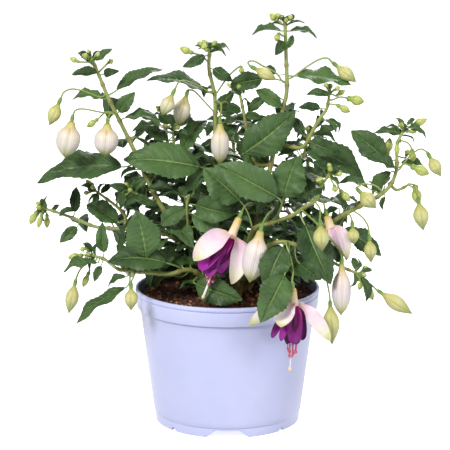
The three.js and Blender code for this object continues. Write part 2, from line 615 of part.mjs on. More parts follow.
// Soil: it fills the pot to a little below the lip, with a crumbly top and a hole for each stem
function soil({ floorTop, innerAt }, bases) {
  const { top, dome, crumb, gap, sides } = SOIL;
  const edge = innerAt(top - 6) - gap - 0.5;
  const profile = [
    [0, floorTop + gap], [innerAt(floorTop) - gap - 0.3, floorTop + gap], [edge, top - 5],
    [edge * 0.84, top], [edge * 0.62, top + dome / 3], [edge * 0.36, top + dome * 0.8], [0, top + dome],
  ];
  const geometry = new THREE.LatheGeometry(
    profile.map(([radius, height]) => new THREE.Vector2(radius, height)), sides);
  geometry.rotateX(Math.PI / 2);
  const position = geometry.getAttribute('position');
  for (let k = 0; k < position.count; k += 1) {
    const [x, y, z] = [position.getX(k), position.getY(k), position.getZ(k)];
    if (z > top - 1 && Math.hypot(x, y) > 1) {
      position.setZ(k, z + crumb * Math.sin(x * 1.7 + 0.4) * Math.cos(y * 1.3 - 0.8));
    }
  }
  let body = solid(geometry);
  for (const { base, radius } of bases) {
    const width = (radius + HOLE.gap) * HOLE.widen;
    const hole = new THREE.CylinderGeometry(width, width, HOLE.depth + HOLE.above, HOLE.sides);
    hole.rotateX(Math.PI / 2);
    hole.translate(base.x, base.y, top + (HOLE.above - HOLE.depth) / 2);
    body = body.subtract(solid(hole));
  }
  body = tidied(body);
  add('soil', body, FINISH.peat);
  remember('soil', body);
}

// The centre lines of a stem and its branches: up from its hole in the soil and through its places
function stemLines(stem) {
  const place = stem.axes ? vec : at;
  const foot = new THREE.Vector3(...stem.base, SOIL.top - HOLE.depth + HOLE.clear);
  const collar = new THREE.Vector3(...stem.base, SOIL.top + HOLE.collar);
  const lines = [line(smooth([foot, collar, ...stem.route.map(place)]), stem.radius)];
  for (const branch of stem.branches ?? []) {
    const route = branch.route.map(place);
    const start = nearest([lines[0]], (point) => point.distanceTo(route[0]));
    lines.push(line(smooth([start, ...route]), branch.radius));
  }
  return lines;
}

// A line of a stem: its curve, the stations of its rod, and points close along the rod's axis,
// where leaves and stalks may join it
function line(curve, radius) {
  const stations = stationsOf(curve, radius, STEM.step);
  const points = stations.slice(1).flatMap(({ point }, k) => Array.from(
    { length: STEM.joints }, (_, i) => mix(stations[k].point, point, i / STEM.joints)));
  return { curve, stations, points: points.slice(2) };
}

// The point on a stem's lines with the least measure
function nearest(lines, measure) {
  let best = lines[0].points[0];
  for (const point of lines.flatMap(({ points }) => points)) {
    if (measure(point) < measure(best)) best = point;
  }
  return best;
}

// The point on a stem's lines that the front view shows nearest to a place
function nearestSeen(lines, [across, down]) {
  return nearest(lines, (point) => {
    const [x, y] = seen(point);
    return Math.hypot(x - across, y - down);
  });
}

// The half width of a leaf as a share of its widest: round at the base, drawn out at the tip
const outline = (t) => (t ** 0.72 * (1 - t)) / 0.3106;
const STATIONS = {
  large: { stalked: true, edge: [0.08, 0.28, 0.54, 0.8], rib: [0.45] },
  medium: { stalked: true, edge: [0.16, 0.56], rib: [0.42] },
  small: { stalked: false, edge: [0.4], rib: [0.45] },
};

// A leaf: a stalk from the stem's centre to the blade's base, and a folded, bowed and toothed blade
// whose rib is a curve of the second degree. The blade's two faces are split alike.
function leafSolid({ stem, base, tip, width, hint }, detail, swell = 0) {
  const axis = unit(tip.clone().sub(base));
  const normal = square(hint, axis);
  const side = cross(axis, normal);
  const length = base.distanceTo(tip);
  const control = along(mix(base, tip, 0.5), normal, 2 * BLADE.bow * length);
  const rib = new THREE.QuadraticBezierCurve3(base, control, tip);
  const faceAt = (t) => unit(cross(side, rib.getTangent(t)));
  const half = BLADE.thickness / 2 + swell;
  const pair = (point, face) => [along(point, face, half), along(point, face, -half)];
  const reach = (t, k, sign) => {
    const wide = (width / 2) * outline(t) * (1 + (k % 2 ? -BLADE.tooth : BLADE.tooth)) + swell;
    return along(along(rib.getPoint(t), side, sign * wide), faceAt(t), BLADE.fold * wide);
  };
  const stalk = base.clone().sub(stem);
  const lead = stalk.length() > 0.5 ? unit(stalk) : axis;
  const bend = unit(lead.clone().add(axis));
  const bendFace = square(normal, bend);
  const frame = (point, direction, face) => {
    const cheek = cross(direction, face);
    const [w, h] = [BLADE.petiole / 2, Math.max(half, 0.5)];
    return [[-w, h], [w, h], [0, -h]].map(([s, f]) => along(along(point, cheek, s), face, f));
  };
  const points = frame(stem, lead, square(bendFace, lead));
  const triangles = [0, 2, 1];
  if (detail.stalked) {
    points.push(...frame(base, bend, bendFace));
    for (let k = 0; k < 3; k += 1) {
      const next = (k + 1) % 3;
      triangles.push(k, next, next + 3, k, next + 3, k + 3);
    }
  }
  const neck = points.length - 3;
  const chain = (list, place) => list.map((t, k) => {
    points.push(...pair(place(t, k), faceAt(t)));
    return { t, top: points.length - 2, low: points.length - 1 };
  });
  const left = chain(detail.edge, (t, k) => reach(t, k, -1));
  const right = chain(detail.edge, (t, k) => reach(t, k, 1));
  const ribs = chain(detail.rib, (t) => rib.getPoint(t));
  const [point] = chain([1], () => tip);
  const flat = (a, b, c, flip) => {
    const [p, q, r] = flip ? [c, b, a] : [a, b, c];
    triangles.push(p.top, q.top, r.top, r.low, q.low, p.low);
  };
  const wing = (edge, start, flip) => {
    const outer = [start, ...edge, point];
    const inner = [start, ...ribs, point];
    let [i, j] = [1, 1];
    flat(inner[1], outer[0], outer[1], flip);
    while (i < outer.length - 1 || j < inner.length - 2) {
      const innerDone = j >= inner.length - 2;
      if (innerDone || (i < outer.length - 1 && outer[i + 1].t <= inner[j + 1].t)) {
        flat(inner[j], outer[i], outer[i + 1], flip);
        i += 1;
      } else {
        flat(inner[j], outer[i], inner[j + 1], flip);
        j += 1;
      }
    }
    for (let k = 0; k < outer.length - 1; k += 1) {
      const [a, b] = flip ? [outer[k + 1], outer[k]] : [outer[k], outer[k + 1]];
      triangles.push(a.top, a.low, b.low, a.top, b.low, b.top);
    }
  };
  wing(left, { t: 0, top: neck, low: neck + 2 }, true);
  wing(right, { t: 0, top: neck + 1, low: neck + 2 }, false);
  triangles.push(neck, neck + 1, ribs[0].top);
  return closed(points, triangles);
}

// A leaf that is given by places in the front view. It is as wide as a fuchsia leaf of its length,
// and turned about its rib until it looks as narrow as the view shows it.
function viewedLeaf(lines, row) {
  const [baseAcross, baseDown, tipAcross, tipDown, width, behind, beyond, ...joint] = row;
  const stem = nearestSeen(lines, joint.length ? joint : [baseAcross, baseDown]);
  const apparent = Math.abs(width) * PIXEL;
  return ({ shift, lean }) => {
    const depth = stem.y + behind + shift;
    const base = at([baseAcross, baseDown, depth]);
    const tip = at([tipAcross, tipDown, depth + beyond + lean]);
    const axis = unit(tip.clone().sub(base));
    const real = Math.max(apparent, Math.min(BLADE.ratio * base.distanceTo(tip), 3 * apparent));
    const facing = square(forward, axis).negate();
    const edge = cross(axis, facing);
    if (edge.z < 0) edge.negate();
    const shown = (Math.sign(width) * apparent) / real;
    const hint = along(facing.multiplyScalar(shown), edge, Math.sqrt(1 - shown * shown));
    return { stem, base, tip, width: real, hint };
  };
}

// A leaf that grows by rule at a point of a stem, on one side of it
function grownLeaf({ point, tangent }, { turn, length, pitch, twist }) {
  const first = unit(cross(tangent, new THREE.Vector3(0, 1, 0)));
  const second = cross(tangent, first);
  return ({ swing, dip, scale }) => {
    const angle = THREE.MathUtils.degToRad(turn + swing);
    const out = along(first.clone().multiplyScalar(Math.cos(angle)), second, Math.sin(angle));
    const base = along(point, unit(along(out, tangent, GROWTH.lift)), GROWTH.petiole);
    const level = unit(new THREE.Vector3(out.x, out.y, GROWTH.level * out.z));
    const slope = THREE.MathUtils.degToRad(pitch + dip);
    const axis = along(level.clone().multiplyScalar(Math.cos(slope)), up, Math.sin(slope));
    const tip = along(base, unit(axis), length * scale);
    const hint = along(up, cross(axis, up), twist);
    return { stem: point, base, tip, width: BLADE.ratio * length * scale, hint };
  };
}

// Every way that a leaf may bend to keep clear, the least change first
const VIEWED_BENDS = [0, -4, 4, -8, 8, -12, 12, -17, 17, -22, 22].flatMap(
  (shift) => [0, -6, 6].map((lean) => ({ shift, lean })));
const GROWN_BENDS = [1, 0.8, 0.62].flatMap((scale) => [0, -25, 25].flatMap(
  (dip) => [0, 30, -30, 60, -60].map((swing) => ({ swing, dip, scale }))));

function detailOf({ base, tip }) {
  const length = base.distanceTo(tip);
  if (length > GROWTH.large) return STATIONS.large;
  return length > GROWTH.small ? STATIONS.medium : STATIONS.small;
}

// Places the first bend of a leaf that is clear of all that is there, or leaves it out
function placeLeaf(name, leafAt, bends, allowed = () => true) {
  for (const bend of bends) {
    const leaf = leafAt(bend);
    if (!allowed(leaf)) continue;
    const detail = detailOf(leaf);
    const whole = leafSolid(leaf, detail, BLADE.guard);
    const apartFromOthers = isClear(whole, (other) => other.others && other.node !== name);
    const lone = leafSolid({ ...leaf, stem: leaf.base }, detail, BLADE.guard);
    if (apartFromOthers && isClear(lone, (other) => other.own && other.node === name)) {
      const body = leafSolid(leaf, detail);
      remember(name, body, { own: false, others: true });
      remember(name, lone, { own: true, others: false });
      return [body];
    }
  }
  return [];
}

// The pairs of leaves that grow by rule along a stem, each pair turned a quarter from the last
function pairedLeaves(stem, main) {
  const { curve } = main;
  const { count, from, to, blade } = stem.pairs;
  const leaves = [];
  for (let k = 0; k < count * 2; k += 1) {
    const pair = Math.floor(k / 2);
    const where = from + ((to - from) * (pair + 0.5)) / count;
    const goal = curve.getPointAt(where);
    const point = nearest([main], (place) => place.distanceTo(goal));
    const node = { point, tangent: curve.getTangentAt(where) };
    const turn = 90 * (pair % 2) + 180 * (k % 2) + GROWTH.turn * (random() - 0.5);
    const full = blade * (GROWTH.young - GROWTH.shrink * where);
    const length = full * (GROWTH.least + GROWTH.spread * random());
    const pitch = GROWTH.pitch[0] + (GROWTH.pitch[1] - GROWTH.pitch[0]) * random();
    const twist = GROWTH.twist * (random() - 0.5);
    const [nodeAcross, nodeDown] = seen(point);
    const allowed = ({ base, tip }) => {
      if (tip.y > BUSH.back || (!stem.axes && tip.y < base.y + 2)) return false;
      const [across, down] = seen(tip);
      const near = Math.hypot(across - nodeAcross, down - nodeDown) < BUSH.near;
      const between = across > BUSH.left && across < BUSH.right;
      return near || (between && down > BUSH.top && down < BUSH.bottom);
    };
    leaves.push({ leafAt: grownLeaf(node, { turn, length, pitch, twist }), allowed });
  }
  return leaves;
}

// A stalk row's points and sizes in millimetres: the stalk bends from the stem to the bud's top
function stalkOf(stem, lines, row) {
  if (stem.axes) {
    const [name, path, top, tip, width] = row;
    const places = [...path, top].map(vec);
    const start = nearest(lines, (point) => point.distanceTo(places[0]));
    return { name, points: [start, ...places], tip: vec(tip), width };
  }
  const [name, path, topAcross, topDown, tipAcross, tipDown, width, depth] = row;
  const places = [...path, [topAcross, topDown]];
  const start = nearestSeen(lines, places[0]);
  const points = places.map(([across, down], k) => {
    const share = (k + 1) / places.length;
    return at([across, down, THREE.MathUtils.lerp(start.y, depth, share)]);
  });
  const tip = at([tipAcross, tipDown, depth]);
  return { name, points: [start, ...points], tip, width: width * PIXEL };
}

// The stalk of a bud or a bloom, which swells to its ovary or to a small green bud at its end
function stalkSolid({ name, points, tip, width }) {
  const top = points.at(-1);
  const axis = unit(tip.clone().sub(top));
  const stations = stationsOf(smooth(points), [STALK.radius, STALK.radius], STALK.step);
  const length = name ? OVARY.length : top.distanceTo(tip);
  const swelling = name
    ? [[OVARY.radius, 0.45], [OVARY.radius * 0.8, 1]]
    : [[width / 2, 0.4], [width * 0.3, 0.78], [0.15, 1]];
  for (const [radius, share] of swelling) {
    stations.push({ point: along(top, axis, length * share), radius });
  }
  return rod(stations, STALK.sides);
}

// A large bud below its ovary: a short tube that swells to a fat body with four ridges and a point
function budSolid({ points, tip, width }) {
  const top = points.at(-1);
  const start = along(top, unit(tip.clone().sub(top)), OVARY.length + OVARY.gap);
  const length = start.distanceTo(tip);
  const profile = BUD_PROFILE.map(([radius, height]) => [(radius * width) / 2, height * length]);
  return turned(profile, 8, start, tip, 0.08);
}

// A bloom's centre line and its parts' places in millimetres
function bloomOf(bloom) {
  const place = bloom.axes ? (spot) => vec(spot) : ([across, down], depth) => at([across, down, depth]);
  const top = place(bloom.top, bloom.depth);
  const mouth = place(bloom.mouth, bloom.depth);
  const skirt = place(bloom.skirt, bloom.skirtDepth);
  const sepals = bloom.sepals.map(([a, b, c, d, bulge, drop]) => (bloom.axes
    ? { tip: vec([a, b, c]), width: d, bulge, drop }
    : { tip: at([a, b, d]), width: c * PIXEL, bulge, drop }));
  const style = bloom.style && place(bloom.style, bloom.styleDepth);
  const axis = unit(skirt.clone().sub(mouth));
  const { open, rounds, twist } = bloom;
  return { top, mouth, skirt, sepals, style, axis, open, rounds, twist };
}

// The stalk that a bloom hangs from, as stalkOf gives a bud's
function bloomStalkOf(bloom, lines) {
  const { top, mouth } = bloomOf(bloom);
  const behind = bloom.axes || nearestSeen(lines, bloom.stalk[0]).y;
  const places = bloom.stalk.map((spot, k) => {
    if (bloom.axes) return vec(spot);
    const share = (k + 1) / (bloom.stalk.length + 1);
    return at([...spot, THREE.MathUtils.lerp(behind, bloom.depth, share)]);
  });
  const start = nearest(lines, (point) => point.distanceTo(places[0]));
  return { name: bloom.name, points: [start, ...places, top], tip: mouth, bloom: true };
}

// Tube and sepals: the tube flares at its mouth, and each sepal bends out from the mouth to its tip
function calyxSolid({ top, mouth, axis, sepals, twist }) {
  const start = along(top, unit(mouth.clone().sub(top)), OVARY.length + OVARY.gap);
  const length = start.distanceTo(mouth);
  const { tube, flare } = CALYX;
  const profile = [[0, 0], [tube * 0.8, 0], [tube, length * 0.5], [flare, length], [0, length]];
  const parts = [turned(profile, 6, start, mouth)];
  for (const { tip, width, bulge, drop } of sepals) {
    const out = square(tip.clone().sub(mouth), axis);
    const root = along(along(mouth, axis, -CALYX.sink), out, flare * 0.75);
    const elbow = along(along(mouth, axis, drop), out, bulge);
    const middle = new THREE.QuadraticBezierCurve3(root, elbow, tip);
    const round = cross(axis, out);
    const flat = cross(forward, square(tip.clone().sub(mouth), forward));
    if (flat.dot(round) < 0) flat.negate();
    const surface = (t, s) => {
      const across = (s - 0.5) * width * sepalBreadth(t);
      const side = square(mix(round, flat, twist * Math.min(1, 2.4 * t)), middle.getTangent(t));
      const cup = CALYX.cup * width * sepalBreadth(t) * (2 * s - 1) ** 2;
      return along(along(middle.getPoint(t), side, across), cross(side, middle.getTangent(t)), cup);
    };
    parts.push(sheet(surface, 4, 2, PETAL.thickness));
  }
  return fuse(parts);
}

// A sepal's width as a share of its widest: it widens from the root to its middle, and stays broad
// until it narrows to a short tip
function sepalBreadth(t) {
  const belly = Math.sin((Math.PI / 2) * Math.min(1, 2 * t));
  return 0.05 + (0.42 + 0.53 * belly) * Math.sqrt(1 - Math.max(0, 2 * t - 1) ** 3);
}

// Skirt: an outer and an inner round of broad petals that hang from a ring under the tube's mouth
function skirtSolid({ mouth, skirt, axis, open, rounds }) {
  const [first, second] = crossways(axis);
  const { hole, wall, gap, height } = SKIRT;
  const collar = hole + wall / 2;
  const profile = [[hole, gap], [hole + wall, gap], [hole + wall, height], [hole, height], [hole, gap]];
  const parts = [turned(profile, 6, mouth, skirt)];
  const length = mouth.distanceTo(skirt);
  for (const round of SKIRT.rounds.slice(0, rounds)) {
    for (let k = 0; k < round.count; k += 1) {
      const middle = (2 * Math.PI * (k + round.turn)) / round.count;
      const wide = open * round.spread;
      const surface = (t, s) => {
        const edge = 2 * s - 1;
        const angle = middle + edge * round.half;
        const swell = Math.sin((Math.PI / 2) * Math.min(1, SKIRT.belly * t));
        const flute = SKIRT.flute * t * t * Math.cos(2 * Math.PI * edge);
        const radius = collar + (wide - collar) * swell + flute;
        const fall = (length * round.reach - gap) * t * (1 - SKIRT.scallop * edge * edge);
        const drop = gap + SKIRT.sink + fall;
        const out = along(first.clone().multiplyScalar(Math.cos(angle)), second, Math.sin(angle));
        return along(along(mouth, axis, drop), out, radius);
      };
      parts.push(sheet(surface, round.rows, 2, PETAL.thickness));
    }
  }
  return fuse(parts);
}

// Stamens: thin threads that swell to anthers, and the longer style with its stigma, from a column
function stamenSolid({ mouth, skirt, axis, style }) {
  const [first, second] = crossways(axis);
  const length = mouth.distanceTo(skirt);
  const { column, threadStart, thread, spread } = STAMENS;
  const waist = length * STAMENS.waist;
  const ends = [STAMENS.columnStart, STAMENS.columnStart + STAMENS.columnLength];
  const parts = [rod(ends.map((drop) => ({ point: along(mouth, axis, drop), radius: column })), 6)];
  for (let k = 0; k < STAMENS.count; k += 1) {
    const angle = (2 * Math.PI * (k + 0.5)) / STAMENS.count;
    const out = along(first.clone().multiplyScalar(Math.cos(angle)), second, Math.sin(angle));
    const end = length + STAMENS.past + STAMENS.step * (k % 3);
    const stations = [
      [threadStart, 0.5, thread], [waist, spread * 0.85, thread], [end, spread, thread],
      [end + STAMENS.antherLength * 0.4, spread, STAMENS.anther], [end + STAMENS.antherLength, spread, 0.2],
    ];
    parts.push(rod(stations.map(([drop, away, radius]) => ({
      point: along(along(mouth, axis, drop), out, away), radius,
    })), 3));
  }
  const hang = unit(style.clone().sub(along(mouth, axis, waist)));
  parts.push(rod([
    { point: along(mouth, axis, threadStart), radius: thread },
    { point: along(mouth, axis, waist), radius: thread },
    { point: style, radius: thread },
    { point: along(style, hang, STAMENS.stigmaLength / 3), radius: STAMENS.stigma },
    { point: along(style, hang, STAMENS.stigmaLength), radius: thread },
  ], 4));
  return fuse(parts);
}

const vessel = pot();
const plants = [...STEMS, ...BACK_STEMS].map((stem) => ({ stem, lines: stemLines(stem), parts: [] }));
soil(vessel, plants.map(({ stem }) => ({ base: vec([...stem.base, 0]), radius: stem.radius[0] })));

for (const { stem, lines, parts } of plants) {
  for (const { stations } of lines) parts.push(rod(stations, STEM.sides));
  const stalks = stem.stalks.map((row) => stalkOf(stem, lines, row));
  for (const bloom of BLOOMS.filter((each) => each.stem === stem.name)) {
    stalks.push(bloomStalkOf(bloom, lines));
  }
  for (const stalk of stalks) {
    parts.push(stalkSolid(stalk));
    if (stalk.name && !stalk.bloom) {
      const bud = budSolid(stalk);
      add(stalk.name, bud, FINISH.bud);
      remember(stalk.name, bud);
    }
  }
  for (const body of parts) remember(stem.name, body);
}

for (const bloom of BLOOMS) {
  const form = bloomOf(bloom);
  const bodies = [['calyx', calyxSolid(form), FINISH.sepal], ['skirt', skirtSolid(form), FINISH.petal]];
  if (form.style) bodies.push(['stamens', stamenSolid(form), FINISH.stamen]);
  for (const [part, body, finish] of bodies) {
    add(`${bloom.name}_${part}`, body, finish);
    remember(bloom.name, body);
  }
}

for (const { stem, lines, parts } of plants) {
  for (const row of stem.leaves ?? []) {
    parts.push(...placeLeaf(stem.name, viewedLeaf(lines, row), VIEWED_BENDS));
  }
}
for (const { stem, lines, parts } of plants) {
  for (const { leafAt, allowed } of pairedLeaves(stem, lines[0])) {
    parts.push(...placeLeaf(stem.name, leafAt, GROWN_BENDS, allowed));
  }
  add(stem.name, fuse(parts), FINISH.leaf);
}

const plant = new THREE.Group();
plant.add(...pieces);
export default plant;
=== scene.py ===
import math

import bpy
import numpy as np
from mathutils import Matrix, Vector


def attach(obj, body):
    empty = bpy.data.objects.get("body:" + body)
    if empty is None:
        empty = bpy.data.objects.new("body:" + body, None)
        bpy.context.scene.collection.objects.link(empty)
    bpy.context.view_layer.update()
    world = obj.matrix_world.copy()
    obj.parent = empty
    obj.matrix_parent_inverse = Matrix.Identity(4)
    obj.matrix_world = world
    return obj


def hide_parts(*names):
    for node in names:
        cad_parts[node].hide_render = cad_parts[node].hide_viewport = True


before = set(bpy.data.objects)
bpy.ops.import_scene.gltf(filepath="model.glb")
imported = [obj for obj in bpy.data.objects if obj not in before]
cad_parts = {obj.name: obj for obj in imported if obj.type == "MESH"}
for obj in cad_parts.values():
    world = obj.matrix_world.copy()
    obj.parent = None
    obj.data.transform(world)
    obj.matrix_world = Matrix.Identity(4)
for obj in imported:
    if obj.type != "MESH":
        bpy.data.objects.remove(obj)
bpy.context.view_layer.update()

MM = 0.001

# The photograph's camera, as the solids use it: places are [across, down, depth], the first two in the
# 450-pixel frame and the depth in millimetres along +Y
VIEW = {"distance": 1500, "elevation": 12.1, "target": [-1.8, 0, 150.6], "focal": 1986.8, "centre": 225}
PIXEL = VIEW["distance"] / VIEW["focal"]

# The sizes that the solids are built to
POT = {"rim": 70, "foot": 55, "height": 103.5, "wall": 2, "band": 15, "band_overhang": 3.4,
       "foot_step": 8, "foot_overhang": 1.2, "floor": 6, "floor_thickness": 2.2, "ring_wall": 3}
# Half widths of the foot ring's recesses at the ground and at the top, height, and turns from the front
RECESSES = [(16, 9, 5.8, [0, 180]), (3.3, 0.7, 3, [-132.5, -47.5, 47.5, 132.5])]
DRAIN = {"count": 6, "ring": 34, "radius": 4.5}
SOIL = {"top": 96, "dome": 1.5, "gap": 0.3, "crumbs": 620}
STEM = {"foot": 84, "collar": 101, "step": 19, "joints": 12}
STALK_RADIUS = 0.65
OVARY = {"length": 5, "gap": 0.3}
BLADE = {"half": 0.35, "ratio": 0.5, "bow": 0.07}
# How far a side vein runs forward on its way from the rib to the margin, as shares of the blade's length:
# evenly, and as the square of the way out
VEIN = {"lean": 0.2, "bend": 0.08}
GROWTH = {"petiole": 7, "turn": 50, "pitch": [-32, 8], "twist": 0.8, "lift": 0.6, "level": 0.15,
          "young": 1.12, "shrink": 0.42, "least": 0.88, "spread": 0.24}
CALYX = {"flare": 4, "sink": 1.2, "cup": 0.12}
SKIRT = {"hole": 1.7, "wall": 1.3, "gap": 0.9, "sink": 0.4, "belly": 1.7, "scallop": 0.16,
         "rounds": [{"count": 4, "turn": 0.5, "spread": 1, "half": 0.74, "reach": 1},
                    {"count": 3, "turn": 0.2, "spread": 0.6, "half": 0.9, "reach": 0.9}]}

